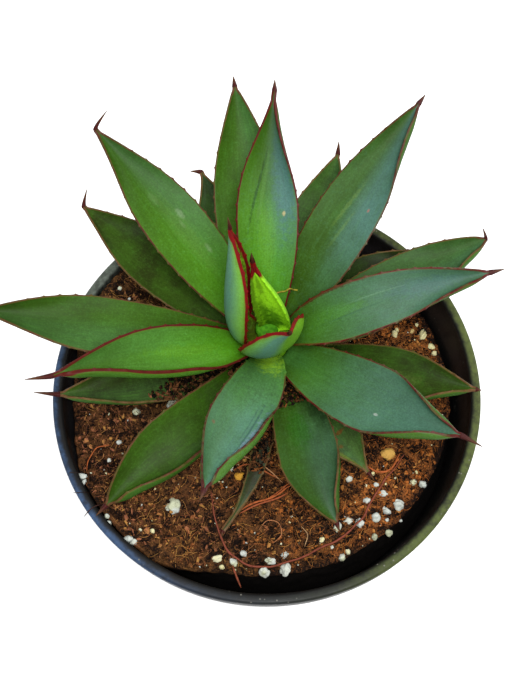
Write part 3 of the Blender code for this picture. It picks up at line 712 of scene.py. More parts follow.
class AgaveLeafLooks(bpy.types.PropertyGroup):
    """The leaves' skin, margins and spines."""

    heart: colour_property("Heart", "Yellow-green of the innermost leaf", paint(146, 212, 32))
    lime: colour_property("Lime", "Yellow-green at the base of the outer leaves", paint(68, 128, 16))
    fresh: colour_property("Fresh", "Green of the young leaves", paint(54, 94, 12))
    mature: colour_property("Mature", "Green of the full-grown leaves", paint(44, 71, 12))
    old: colour_property("Old", "Green of the oldest leaves", paint(30, 37, 10))
    under: colour_property("Underside", "Green of the underside", paint(56, 96, 20))
    # bluish waxy bloom, partly a painted reflection of the sky
    bloom_and_sheen: colour_property("Bloom and sheen", "Colour of the waxy bloom", paint(62, 98, 94))
    crimson: colour_property("Crimson", "Colour of the heart's margins", paint(104, 12, 14))
    russet: colour_property("Russet", "Colour of the full-grown margins", paint(60, 22, 14))
    tan: colour_property("Tan", "Colour of the dry margins", paint(92, 70, 42))
    lining: colour_property("Lining", "Colour of the thin line inside the margin", paint(72, 82, 18))
    spine: colour_property("Spine", "Colour of the terminal spines", paint(56, 20, 18))


class AgaveStageLooks(bpy.types.PropertyGroup):
    """The floor and the light."""

    floor: colour_property("Floor", "Colour of the floor", (0.9, 0.9, 0.9))
    floor_radius: FloatProperty(
        name="Floor radius", description="Radius of the round floor", default=4, min=1, unit="LENGTH"
    )
    sky: light_property("Sky", "Strength of the even light from all round", 0.85)
    key: light_property("Key light", "Power of the large light overhead, in watts", 20)
    fill: light_property("Fill light", "Power of the light at the back right, in watts", 6)


GROUPS = {
    "agave_pot": AgavePotLooks,
    "agave_soil": AgaveSoilLooks,
    "agave_strands": AgaveStrandLooks,
    "agave_perlite": AgavePerliteLooks,
    "agave_stem": AgaveStemLooks,
    "agave_leaves": AgaveLeafLooks,
    "agave_stage": AgaveStageLooks,
}


class Finish:
    """A material in the making. Each method adds one node and gives its output."""

    def __init__(self, name):
        self.material = bpy.data.materials.new(name)
        self.material.use_nodes = True
        self.nodes = self.material.node_tree.nodes
        self.links = self.material.node_tree.links
        self.shader = self.nodes["Principled BSDF"]

    def feed(self, socket, value):
        if isinstance(value, bpy.types.NodeSocket):
            self.links.new(value, socket)
        elif socket.type == "RGBA":
            socket.default_value = (*value[:3], 1)
        else:
            socket.default_value = value

    def set(self, **values):
        """Sets or links the shader's sockets, named in lower case."""
        for name, value in values.items():
            self.feed(self.shader.inputs[name.replace("_", " ").title().replace("Ior", "IOR")], value)

    def add(self, kind, inputs, output=0, **settings):
        node = self.nodes.new(kind)
        for name, value in settings.items():
            setattr(node, name, value)
        for socket, value in inputs.items():
            self.feed(node.inputs[socket], value)
        return node.outputs[output]

    def place(self):
        return self.add("ShaderNodeTexCoord", {}, "Object")

    def attribute(self, name):
        return self.add("ShaderNodeAttribute", {}, "Fac", attribute_name=name)

    def parts(self, vector):
        """The X, Y and Z of a vector."""
        node = self.nodes.new("ShaderNodeSeparateXYZ")
        self.feed(node.inputs[0], vector)
        return tuple(node.outputs)

    def vector(self, x, y, z):
        return self.add("ShaderNodeCombineXYZ", {0: x, 1: y, 2: z})

    def math(self, operation, first, second=0.0):
        return self.add("ShaderNodeMath", {0: first, 1: second}, operation=operation)

    def plus(self, first, second):
        return self.math("ADD", first, second)

    def minus(self, first, second):
        return self.math("SUBTRACT", first, second)

    def times(self, first, *others):
        """All the values multiplied together."""
        for other in others:
            first = self.math("MULTIPLY", first, other)
        return first

    def size(self, value):
        """A number without its sign."""
        return self.math("ABSOLUTE", value)

    def length(self, vector):
        return self.add("ShaderNodeVectorMath", {0: vector}, "Value", operation="LENGTH")

    def ease(self, value, low, high, start=0.0, end=1.0):
        """Goes smoothly from start to end while the value goes from low to high."""
        inputs = {"Value": value, "From Min": low, "From Max": high, "To Min": start, "To Max": end}
        return self.add("ShaderNodeMapRange", inputs, interpolation_type="SMOOTHSTEP")

    def spread(self, value, start=0.0, end=1.0):
        """Goes from start to end over the values that a noise mostly takes."""
        return self.ease(value, 0.3, 0.7, start, end)

    def noise(self, place, scale, detail=2.0, roughness=0.5, distortion=0.0):
        inputs = {"Vector": place, "Scale": scale, "Detail": detail, "Roughness": roughness}
        return self.add("ShaderNodeTexNoise", {**inputs, "Distortion": distortion})

    def cells(self, place, scale):
        return self.add("ShaderNodeTexVoronoi", {"Vector": place, "Scale": scale}, "Distance")

    def mix(self, share, first, second):
        return self.add("ShaderNodeMix", {0: share, 6: first, 7: second}, 2, data_type="RGBA")

    def between(self, share, first, second):
        """A plain number between two others."""
        return self.add("ShaderNodeMix", {0: share, 2: first, 3: second}, 0, data_type="FLOAT")

    def bump(self, height, distance, strength):
        return self.add("ShaderNodeBump", {"Height": height, "Distance": distance, "Strength": strength})


def direction(heading, rise):
    """A unit vector from a heading, anticlockwise from +X, and a rise above level, in degrees."""
    across = math.cos(math.radians(rise))
    turn = math.radians(heading)
    return Vector((across * math.cos(turn), across * math.sin(turn), math.sin(math.radians(rise))))


def blend(low, high, share):
    """Eases from low to high while the share goes from 0 to 1."""
    share = max(0.0, min(1.0, share))
    return low + (high - low) * share * share * (3 - 2 * share)


def mixed(first, second, share):
    """A colour between two others."""
    return tuple(a + (b - a) * share for a, b in zip(first, second))


def shown(red, green, blue):
    """The colour that looks like these display values in the stage's light."""
    return tuple(value / STAGE_LIGHT for value in paint(red, green, blue))


def upward(height):
    return Vector((0, 0, height))


def linked(name, data):
    """A new object in the scene."""
    obj = bpy.data.objects.new(name, data)
    bpy.context.scene.collection.objects.link(obj)
    return obj


def from_bmesh(name, bm):
    mesh = bpy.data.meshes.new(name)
    bm.to_mesh(mesh)
    bm.free()
    return linked(name, mesh)


def mesh_object(name, verts, faces, attributes):
    """A mesh from points and faces, with a list of numbers for each named attribute."""
    mesh = bpy.data.meshes.new(name)
    mesh.from_pydata(verts, [], faces)
    for key, values in attributes.items():
        layer = mesh.attributes.new(key, "FLOAT", "POINT")
        layer.data.foreach_set("value", np.array(values, np.float32))
    return linked(name, mesh)


def face_outward(obj):
    """Turns the faces of a closed mesh outward."""
    bm = bmesh.new()
    bm.from_mesh(obj.data)
    bmesh.ops.recalc_face_normals(bm, faces=bm.faces[:])
    if bm.calc_volume(signed=True) < 0:
        bmesh.ops.reverse_faces(bm, faces=bm.faces[:])
    bm.to_mesh(obj.data)
    bm.free()


def settle(obj, material, slot, *nodes, sharp=None):
    """Gives a finished piece its material, its shading and its place on the body."""
    obj.data.materials.clear()
    obj.data.materials.append(material)
    obj.data.shade_smooth()
    if sharp:
        obj.data.set_sharp_from_angle(angle=math.radians(sharp))
    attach(obj, BODY)
    if nodes:
        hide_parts(*nodes)


def apply_modifiers(obj):
    """Keeps the shape that the object's modifiers give it, and removes them."""
    graph = bpy.context.evaluated_depsgraph_get()
    mesh = bpy.data.meshes.new_from_object(obj.evaluated_get(graph))
    obj.modifiers.clear()
    obj.data = mesh


def ring_faces(rings, around):
    """Quads between rings of points, with a cap on each end. The rings run up, their points anticlockwise."""
    faces = []
    for low in range(0, (rings - 1) * around, around):
        for step in range(around):
            after = (step + 1) % around
            faces.append((low + step, low + after, low + around + after, low + around + step))
    faces.append(tuple(range(around - 1, -1, -1)))
    faces.append(tuple((rings - 1) * around + step for step in range(around)))
    return faces


# The pot


def wall_radius(height):
    """Outside the wall."""
    share = height / (POT_HEIGHT - RIM_SKIRT)
    return FOOT_RADIUS + (WALL_TOP_RADIUS - FOOT_RADIUS) * share


def inner_radius(height):
    return wall_radius(height) - WALL


def corner(x, z, radius, start, end, steps=5):
    """Points round a corner's centre, from a start angle to an end angle in degrees."""
    angles = [math.radians(start + (end - start) * step / steps) for step in range(steps + 1)]
    return [(x + radius * math.cos(angle), z + radius * math.sin(angle)) for angle in angles]


def pot_profile():
    """(radius, height) round the wall, the rolled rim and the floor, down the outside first."""
    skirt = POT_HEIGHT - RIM_SKIRT
    lip = POT_HEIGHT - RIM_ROUNDING
    foot = FOOT_RADIUS - FOOT_INSET
    inside = RIM_RADIUS - RIM_WIDTH
    profile = corner(RIM_RADIUS - RIM_ROUNDING, lip, RIM_ROUNDING, 90, 0)
    profile.append((RIM_RADIUS - RIM_TAPER * 0.5, (lip + skirt) / 2))
    profile += corner(
        RIM_RADIUS - RIM_TAPER - SKIRT_ROUNDING, skirt + SKIRT_ROUNDING, SKIRT_ROUNDING, 0, -90, 3
    )
    profile.append((wall_radius(skirt) + FILLET, skirt - RIM_UNDERSIDE * 0.7))
    for step in range(1, WALL_STEPS):
        height = skirt - RIM_UNDERSIDE * 2 + (FOOT_CURVE - skirt) * step / WALL_STEPS
        profile.append((wall_radius(height), height))
    profile += [(wall_radius(FOOT_CURVE), FOOT_CURVE), (FOOT_RADIUS - FOOT_ROUNDING, FOOT_CURVE * 0.4)]
    profile += [(foot, 0), (0, 0), (0, FLOOR_THICKNESS), (foot - WALL, FLOOR_THICKNESS)]
    profile.append((inner_radius(FOOT_CURVE + WALL), FOOT_CURVE + WALL))
    for step in range(1, WALL_STEPS):
        height = FOOT_CURVE + (skirt - FOOT_CURVE) * step / WALL_STEPS
        profile.append((inner_radius(height), height))
    profile += [(inner_radius(skirt), skirt), (inside - 0.1 * MM, (skirt + lip) / 2)]
    profile += corner(inside + RIM_ROUNDING, lip, RIM_ROUNDING, 180, 90)
    return profile


def turned(name, profile, sides):
    """A profile of (radius, height) points turned about the Z axis."""
    bm = bmesh.new()
    points = [bm.verts.new((radius, 0, height)) for radius, height in profile]
    for first, second in zip(points, points[1:]):
        bm.edges.new((first, second))
    if profile[0][0] > 0:
        bm.edges.new((points[-1], points[0]))
    obj = from_bmesh(name, bm)
    screw = obj.modifiers.new("turn", "SCREW")
    screw.steps = sides
    screw.render_steps = sides
    screw.use_merge_vertices = True
    screw.merge_threshold = 0.01 * MM
    apply_modifiers(obj)
    return obj


def cylinder(name, radius, sides, low, high, place):
    bm = bmesh.new()
    middle = Matrix.Translation(place + upward((low + high) / 2))
    bmesh.ops.create_cone(
        bm, cap_ends=True, segments=sides, radius1=radius, radius2=radius, depth=high - low, matrix=middle
    )
    return from_bmesh(name, bm)


def cut(obj, cutters):
    """Cuts the cutters out of an object, and removes them."""
    for cutter in cutters:
        modifier = obj.modifiers.new(cutter.name, "BOOLEAN")
        modifier.operation = "DIFFERENCE"
        modifier.object = cutter
    apply_modifiers(obj)
    for cutter in cutters:
        bpy.data.objects.remove(cutter, do_unlink=True)


def pot_plastic(looks):
    """Black plastic. A film of dust lies on the rim, greener on the right, and on the left it carries a
    painted bluish reflection of the sky.
    """
    finish = Finish("pot_plastic")
    place = finish.place()
    x, y, z = finish.parts(place)
    out = finish.length(finish.vector(x, y, 0.0))
    scuffs = finish.noise(place, 45, 5, 0.65, 0.4)
    blotches = finish.plus(scuffs, finish.noise(place, 420, 4, 0.7))

    back_left = finish.times(finish.ease(y, 10 * MM, 30 * MM), finish.ease(x, -15 * MM, -40 * MM))
    inner_line = finish.ease(x, -40 * MM, 40 * MM, RIM_RADIUS - 1.5 * MM, RIM_RADIUS - 2.4 * MM)
    inner_line = finish.minus(inner_line, finish.times(back_left, 1.8 * MM))
    ragged = finish.plus(out, finish.times(blotches, 1.2 * MM))
    share = finish.times(
        finish.ease(finish.minus(ragged, inner_line), 0.0, 1.8 * MM),
        finish.ease(z, POT_HEIGHT - RIM_SKIRT * 1.6, POT_HEIGHT - RIM_SKIRT * 0.5, 0.1, 1),
        finish.ease(finish.size(x), 15 * MM, 60 * MM, 0.1, 1.0),
        finish.ease(blotches, 0.75, 1.2, 0.35, 1),
    )
    # a painted bluish reflection over the dust on the left, and real greenish dust on the right
    dust = finish.mix(finish.ease(x, -30 * MM, 30 * MM), looks.cool_dust_and_sheen, looks.warm_dust)
    dust = finish.mix(back_left, dust, looks.back_dust)
    colour = finish.mix(share, looks.plastic, dust)

    inner_wall = RIM_RADIUS - RIM_WIDTH
    film = finish.times(
        finish.ease(out, inner_wall - 0.8 * MM, inner_wall + 0.2 * MM, 0.85, 0.0),
        finish.ease(scuffs, 0.3, 0.65, 0.3, 1.0),
        finish.ease(z, SOIL_LEVEL - 6 * MM, SOIL_LEVEL),
    )
    smear = finish.mix(finish.ease(x, 30 * MM, 60 * MM), looks.film, looks.warm_film)
    colour = finish.mix(film, colour, smear)
    chips = finish.times(
        finish.ease(finish.cells(place, 520), 0.18, 0.1),
        finish.ease(finish.noise(place, 70, 2), 0.52, 0.6),
        0.7,
    )
    colour = finish.mix(chips, colour, looks.crumbs)
    grain = finish.noise(place, 2400, 2)
    roughness = finish.spread(scuffs, 0.36, 0.55)
    finish.set(base_color=colour, roughness=roughness, specular_ior_level=0.14)
    finish.set(normal=finish.bump(finish.plus(grain, scuffs), 0.06 * MM, 0.5))
    return finish.material


def make_pot(looks):
    """The pot, whose thin rim is a little out of round."""
    pot = turned("pot_shell", pot_profile(), POT_SIDES)
    middle = SOIL_LEVEL / 2
    for vertex in pot.data.vertices:
        heading = math.atan2(vertex.co.y, vertex.co.x)
        share = blend(0, 1, (vertex.co.z - middle) / (POT_HEIGHT - middle))
        spring = noise.noise(Vector((math.cos(heading), math.sin(heading), 0)) * 1.3) - 0.5
        scale = 1 + share * looks.wobble * min(0, spring) / RIM_RADIUS
        vertex.co.x *= scale
        vertex.co.y *= scale
    drills = []
    for number in range(DRAIN_HOLES):
        around = direction(360 * number / DRAIN_HOLES, 0) * DRAIN_RING_RADIUS
        name = f"drain_{number}"
        drills.append(cylinder(name, DRAIN_HOLE_RADIUS, DRAIN_HOLE_SIDES, -DRILL_REACH, DRILL_REACH, around))
    cut(pot, drills)
    settle(pot, pot_plastic(looks), "pot_plastic", "pot", sharp=35)


# The soil


def soil_height(spot):
    """The filling's surface over a spot at height 0: a gentle slope with lumps."""
    lumps = noise.noise(spot / SOIL_LUMP) * SOIL_RELIEF
    fine = noise.noise((spot + upward(3 * MM)) / (SOIL_LUMP / 3)) * SOIL_RELIEF * 0.5
    return SOIL_LEVEL + SOIL_SLOPE.x * spot.x + SOIL_SLOPE.y * spot.y + lumps + fine


def soil_edge_radius(heading):
    """How far out the solid filling reaches."""
    away = math.radians((heading - SHRINKAGE_HEADING + 180) % 360 - 180)
    shrunk = SHRINKAGE * max(0, math.cos(0.85 * away)) ** 2
    level = SOIL_LEVEL + SOIL_SLOPE.dot(direction(heading, 0).xy) * RIM_RADIUS
    lowest = level - SOIL_EDGE_DROP - SOIL_RELIEF
    return inner_radius(lowest) - SOIL_FIT - shrunk


def heading_of(spot):
    """The heading of a spot, in degrees anticlockwise from +X."""
    return math.degrees(math.atan2(spot.y, spot.x))


def broken_edge(heading):
    """The edge radius with bites out of it."""
    outward = direction(heading, 0)
    bites = 0.5 + 0.5 * noise.noise(outward * 4.5) + 0.4 * noise.noise(outward * 17)
    return soil_edge_radius(heading) - RAGGED * max(0, bites)


def edge_drop(spot, edge):
    """How far the soil drops towards its edge."""
    share = spot.xy.length / edge
    return SOIL_EDGE_DROP * blend(0, 1, (share - SOIL_EDGE_SHARE) / (1 - SOIL_EDGE_SHARE))


def clods(point):
    """How far the fine lumps of coir stand up or dip at a point."""
    return sum(height * noise.noise(point / breadth) for height, breadth in CLODS)


def ground(spot):
    """The height of the soil's fine surface."""
    return soil_height(spot) + clods(spot) - edge_drop(spot, broken_edge(heading_of(spot)))


def banked(heading):
    """How much of a bank stands against the wall, from 0 to 1."""
    return max(blend(1, 0, abs((heading - middle + 180) % 360 - 180) / width) for middle, width in BANKS)


def loose_edge(heading):
    """How far out the loose coir lies: to the filling's edge, and to the wall where a bank is."""
    edge = broken_edge(heading)
    return edge + (BANK_EDGE - edge) * min(1, 2 * banked(heading))


def surface(spot):
    """The height of the coir with its banks."""
    heading = heading_of(spot)
    share = banked(heading)
    if share == 0:
        return ground(spot)
    drop = edge_drop(spot, broken_edge(heading)) * (1 - min(1, 2 * share))
    rise = share * BANK_HEIGHT * blend(0, 1, (spot.length - BANK_FOOT) / (BANK_EDGE - BANK_FOOT))
    return soil_height(spot) + clods(spot) - min(drop, SOIL_EDGE_DROP) + rise


def painted_light_at(spot):
    """How light the coir is painted: 1 in the middle, and less in the last stretch to the edge, as painted
    shade by the wall.
    """
    heading = heading_of(spot)
    uneven = 1.5 * MM * noise.noise(spot / (4 * MM))
    light = blend(EDGE_DARKEST, 1, (loose_edge(heading) - spot.xy.length + uneven) / EDGE_SHADE)
    return max(light, 0.9 * min(1, 2 * banked(heading)))


def soil_finish(looks, name):
    """Coir and bark, coloured by a tone from 0 in the hollows to 1 for straw. Low tones are painted shade in
    the hollows, and tones below 0 the deeper painted shade of the gap by the wall.
    """
    finish = Finish(name)
    place = finish.place()
    grain = finish.noise(place, 1500, 4, 0.75, 0.5)
    patches = finish.noise(place, 70, 3, 0.6)
    tone = finish.plus(finish.attribute("tone"), finish.spread(grain, -0.22, 0.22))
    tone = finish.plus(tone, finish.spread(patches, -0.1, 0.1))
    drift = finish.plus(finish.parts(place)[0], finish.spread(patches, -30 * MM, 30 * MM))

    # painted light: the rosy tint of the cool light on the left
    rosy_light_tint = mixed(looks.bright, looks.rosy_light_tint, 0.7)
    bright = finish.mix(finish.ease(drift, -40 * MM, 20 * MM), rosy_light_tint, looks.bright)
    colour = finish.mix(finish.ease(tone, 0.05, 0.38), looks.dark_coir_and_shade, looks.coir)
    colour = finish.mix(finish.ease(tone, 0.42, 0.75), colour, bright)
    colour = finish.mix(finish.ease(tone, 0.78, 1.0), colour, looks.straw)
    olive = finish.mix(finish.ease(tone, 0.1, 0.7), looks.dark_coir_and_shade, looks.olive)
    colour = finish.mix(finish.ease(finish.noise(place, 38, 2), 0.45, 0.65, 0.0, 0.4), colour, olive)
    colour = finish.mix(finish.ease(drift, 10 * MM, 50 * MM, 0.22, 0.0), colour, looks.dark_coir_and_shade)
    fresh = finish.times(finish.ease(drift, 15 * MM, 50 * MM, 0.0, 0.3), finish.ease(tone, 0.05, 0.5))
    colour = finish.mix(fresh, colour, looks.orange)
    # tones below 0 turn to painted shade
    colour = finish.mix(finish.ease(tone, -0.5, 0.0), looks.pit_shade, colour)
    roughness = finish.spread(grain, 0.75, 0.95)
    finish.set(base_color=colour, roughness=roughness, specular_ior_level=0.08)
    finish.set(normal=finish.bump(finish.noise(place, 3500, 3, 0.7), 0.15 * MM, 0.8))
    return finish.material


def make_plug(looks):
    """The filling: up its side from the heel, then fine rings over its top."""
    around = SOIL_SEGMENTS
    headings = [360 * step / around for step in range(around)]
    verts = []
    for height, radius in (
        (FLOOR_THICKNESS + GAP, FOOT_RADIUS - SOIL_HEEL.x),
        (SOIL_HEEL.y, inner_radius(SOIL_HEEL.y) - SOIL_FIT),
        (SOIL_LEVEL / 2, inner_radius(SOIL_LEVEL / 2) - SOIL_FIT),
    ):
        verts += [direction(heading, 0) * radius + upward(height) for heading in headings]
    tones = [0.0] * len(verts)
    shoulder = SOIL_LEVEL - SOIL_SHOULDER
    fitted = inner_radius(shoulder) - SOIL_FIT
    edges = [broken_edge(heading) for heading in headings]
    for ring in range(SOIL_SIDE_RINGS):
        share = ring / SOIL_SIDE_RINGS
        for heading, edge in zip(headings, edges):
            outward = direction(heading, 0)
            top = ground(outward * edge)
            height = shoulder + (top - shoulder) * share
            radius = fitted + (edge - fitted) * share
            rough = clods(outward * radius + Vector((5, 3, 1)) * height) - SIDE_WEAR
            verts.append(outward * (radius + rough * min(1, share * 3)) + upward(height))
            # painted shade on the filling's side, in the gap by the wall
            tones.append(-1 + 0.5 * share**6)
    for ring in range(SOIL_TOP_RINGS - 1):
        share = 1 - ring / SOIL_TOP_RINGS
        for heading, edge in zip(headings, edges):
            spot = direction(heading, 0) * edge * share
            verts.append(Vector((spot.x, spot.y, ground(spot))))
            tones.append((FILLING_TONE + LUMP_TONE * clods(spot) / MM) * painted_light_at(spot))
    rings = len(verts) // around
    obj = mesh_object("coir_filling", verts, ring_faces(rings, around), {"tone": tones})
    hole = cylinder("stem_hole", STEM_FOOT_RADIUS + GAP, STEM_SIDES, STEM_FOOT - GAP, STEM_TOP, STEM_CENTRE)
    cut(obj, [hole])
    settle(obj, soil_finish(looks, "coir"), "soil", "soil")


def make_banks(finish):
    """Loose coir heaped against the wall where the plant was pressed in."""
    verts, tones = [], []
    (first, first_width), (last, last_width) = BANKS
    start, end = first - first_width, last + last_width + 360
    count = round((end - start) / BANK_STEP)
    for column in range(count + 1):
        heading = start + (end - start) * column / count
        outward = direction(heading, 0)
        reach = loose_edge(heading) - BANK_FOOT
        spots = [outward * (BANK_FOOT + reach * ring / BANK_RINGS) for ring in range(BANK_RINGS + 1)]
        lowest = min(soil_height(spot) for spot in spots) - SOIL_EDGE_DROP - BANK_ROOT
        verts += [Vector((spot.x, spot.y, surface(spot) - BANK_SUNK)) for spot in spots]
        verts += [Vector((spot.x, spot.y, lowest)) for spot in (spots[-1], spots[0])]
        # the bank's side by the wall gets painted shade
        tones += [BANK_TONE + LUMP_TONE * clods(spot) / MM for spot in spots] + [-0.5, 0.0]
    obj = mesh_object("coir_banks", verts, ring_faces(count + 1, BANK_RINGS + 3), {"tone": tones})
    face_outward(obj)
    settle(obj, finish, "soil")


def on_soil(chance, margin):
    """A random spot on the soil, clear of the stem and of the edge."""
    while True:
        heading = chance.uniform(0, 360)
        spot = direction(heading, 0) * (loose_edge(heading) - margin) * math.sqrt(chance.random())
        if (spot - STEM_CENTRE).length > STEM_FOOT_RADIUS + GAP + margin:
            return spot


def ball(subdivisions):
    """The points and faces of a unit ball of triangles."""
    bm = bmesh.new()
    bmesh.ops.create_icosphere(bm, subdivisions=subdivisions, radius=1)
    verts = np.array([vertex.co[:] for vertex in bm.verts])
    faces = np.array([[vertex.index for vertex in face.verts] for face in bm.faces])
    bm.free()
    return verts, faces


def flake():
    """The points and faces of a unit block with eight facets."""
    verts = np.array([(1, 0, 0), (0, 1, 0), (-1, 0, 0), (0, -1, 0), (0, 0, 1), (0, 0, -1)], float)
    sides = [(step, (step + 1) % 4) for step in range(4)]
    return verts, np.array([(a, b, 4) for a, b in sides] + [(b, a, 5) for a, b in sides])


def chunk(shape, centre, radius, chance, rough, slim=0.6, stout=1.0):
    """A unit shape made into an irregular chunk, turned at random."""
    turn = Euler([chance.uniform(0, math.tau) for _ in range(3)]).to_matrix()
    squash = np.array([1, chance.uniform(slim, stout), chance.uniform(slim, stout) * 0.9])
    offset = Vector([chance.uniform(0, 50) for _ in range(3)])
    bulge = np.array([1 + rough * noise.noise(Vector(point) * 1.4 + offset) for point in shape])
    local = shape * bulge[:, None] * squash * radius
    return local @ np.array(turn).T + np.array(centre)


def gather(name, chunks, faces, tones):
    """Many chunks of one kind as a single mesh, each with its own tone."""
    count = len(chunks[0])
    verts = np.concatenate(chunks)
    all_faces = np.concatenate([faces + number * count for number in range(len(chunks))])
    return mesh_object(name, verts.tolist(), all_faces.tolist(), {"tone": np.repeat(tones, count)})


def coir_tone(chance, spot):
    """Mostly dark crumbs, some fresh ones and a few of straw, all with painted shade towards the edge."""
    tone = chance.choices(COIR_TONES, COIR_WEIGHTS)[0] + chance.uniform(-0.12, 0.12)
    return (tone + 0.12 * banked(heading_of(spot))) * painted_light_at(spot)


def scatter(name, shape, faces, count, radii, rough, seed, stout):
    """Loose chunks of coir all over the filling."""
    chance = random.Random(seed)
    chunks, tones = [], []
    for _ in range(count):
        radius = radii[0] + (radii[1] - radii[0]) * chance.random() ** 2.5
        spot = on_soil(chance, radius + GAP)
        centre = (spot.x, spot.y, surface(spot) + 0.1 * radius)
        chunks.append(chunk(shape, centre, radius, chance, rough, 0.3 * stout, stout))
        tones.append(coir_tone(chance, spot))
    return gather(name, chunks, faces, tones)


def make_crumbs(looks, finish):
    """Crumbs of coir and flakes of bark all over the filling."""
    crumbs = scatter("coir_crumbs", *ball(1), looks.crumbs, CRUMB_RADII, 0.9, SCATTER_SEED, 0.85)
    settle(crumbs, finish, "soil", sharp=40)
    flakes = scatter("bark_flakes", *flake(), looks.bits, FLAKE_RADII, 0.6, SCATTER_SEED + 2, 0.42)
    settle(flakes, finish, "soil", sharp=40)


def on_leaf(order, along, across, lift):
    """A spot over a leaf's upper face."""
    leaf = next(leaf for leaf in LEAVES if leaf.order == order)
    slice_ = slice_of(leaf, SKINS[order], along)
    steps = [across * step / 6 for step in range(7)] if across else [0.0, 1e-6]
    return slice_.point(slice_.midline(steps)[-1], steps[-1], 1) + upward(lift)


def make_axil_litter(finish):
    """Crumbs of coir caught on the bases of the lower leaves."""
    chance = random.Random(SCATTER_SEED + 3)
    shape, faces = flake()
    smallest, largest = LITTER_RADII
    chunks, tones = [], []
    for litter in AXIL_LITTER:
        for _ in range(litter.count):
            along = litter.start + (litter.end - litter.start) * chance.random() ** litter.fade
            across = chance.uniform(litter.right, litter.left)
            radius = (smallest + (largest - smallest) * chance.random() ** 2) * MM
            spot = on_leaf(litter.order, along, across, 0.3 * radius)
            chunks.append(chunk(shape, spot, radius, chance, 0.8, 0.25, 0.8))
            tones.append(chance.choice(LITTER_TONES))
    settle(gather("axil_litter", chunks, faces, tones), finish, "soil", sharp=40)


def smooth_route(points, spacing):
    """Points along a smooth curve through the given ones."""
    ends = [points[0] * 2 - points[1], *points, points[-1] * 2 - points[-2]]
    route = []
    for a, b, c, d in zip(ends, ends[1:], ends[2:], ends[3:]):
        steps = max(2, round((c - b).length / spacing))
        for step in range(steps):
            t = step / steps
            bend = (a * 2 - b * 5 + c * 4 - d) * t * t
            route.append((b * 2 + (c - a) * t + bend + (b * 3 - a - c * 3 + d) * t**3) / 2)
    return [*route, points[-1]]


def tube(route, radii, sides):
    """A closed tube along a route as points and faces."""
    verts = []
    for number, (spot, radius) in enumerate(zip(route, radii)):
        before = route[max(0, number - 1)]
        after = route[min(len(route) - 1, number + 1)]
        along = (after - before).normalized()
        side = along.cross(upward(1)).normalized()
        up = side.cross(along)
        for step in range(sides):
            angle = math.tau * step / sides
            verts.append(spot + (side * math.cos(angle) + up * math.sin(angle)) * radius)
    return verts, ring_faces(len(route), sides)


def join_tubes(name, tubes, tones):
    """Many tubes as a single mesh, each with its own tone."""
    verts, faces, tone = [], [], []
    for (points, quads), shade in zip(tubes, tones):
        start = len(verts)
        verts += points
        faces += [tuple(start + index for index in quad) for quad in quads]
        tone += [shade] * len(points)
    return mesh_object(name, verts, faces, {"tone": tone})


def make_fibres(looks, finish):
    """Short curled fibres all over the soil."""
    chance = random.Random(SCATTER_SEED + 1)
    tubes, tones = [], []
    for _ in range(looks.fibres):
        radius = chance.uniform(*FIBRE_RADII) * MM
        spot = on_soil(chance, 1 * MM)
        heading = chance.uniform(0, 360)
        curl = chance.uniform(-FIBRE_CURL, FIBRE_CURL)
        steps = chance.randint(*FIBRE_STEPS)
        arch = chance.uniform(0, FIBRE_ARCH) * MM * chance.random()
        tones.append(min(1.0, coir_tone(chance, spot) + 0.12))
        route = []
        for step in range(steps + 1):
            lift = radius + FIBRE_LIFT + arch * math.sin(math.pi * step / steps)
            route.append(Vector((spot.x, spot.y, surface(spot) + lift)))
            spot = spot + direction(heading, 0) * FIBRE_STEP * MM
            heading += curl + chance.uniform(-FIBRE_WOBBLE, FIBRE_WOBBLE)
            limit = loose_edge(heading_of(spot)) - radius
            if spot.length > limit:
                spot = spot.normalized() * limit
        radii = [radius * (1 - 0.6 * abs(2 * step / steps - 1) ** 3) for step in range(steps + 1)]
        tubes.append(tube(route, radii, FIBRE_SIDES))
    settle(join_tubes("coir_fibres", tubes, tones), finish, "soil")


def strand_finish(looks):
    """Red-brown fibres, orange ones and a pale straw, by tone."""
    finish = Finish("long_fibre")
    grain = finish.noise(finish.place(), 900, 3, 0.6)
    tone = finish.attribute("tone")
    colour = finish.mix(finish.ease(tone, 0.6, 0.8), looks.brown, looks.orange)
    colour = finish.mix(finish.ease(tone, 0.0, 0.3), looks.dark, colour)
    colour = finish.mix(finish.ease(tone, 0.85, 1.0), colour, looks.pale)
    colour = finish.mix(finish.ease(tone, 1.05, 1.15), colour, looks.green)
    colour = finish.mix(finish.ease(grain, 0.45, 0.7, 0.0, 0.5), colour, looks.shade)
    roughness = finish.spread(grain, 0.6, 0.85)
    finish.set(base_color=colour, roughness=roughness, specular_ior_level=0.15)
    finish.set(normal=finish.bump(grain, 0.08 * MM, 0.6))
    return finish.material


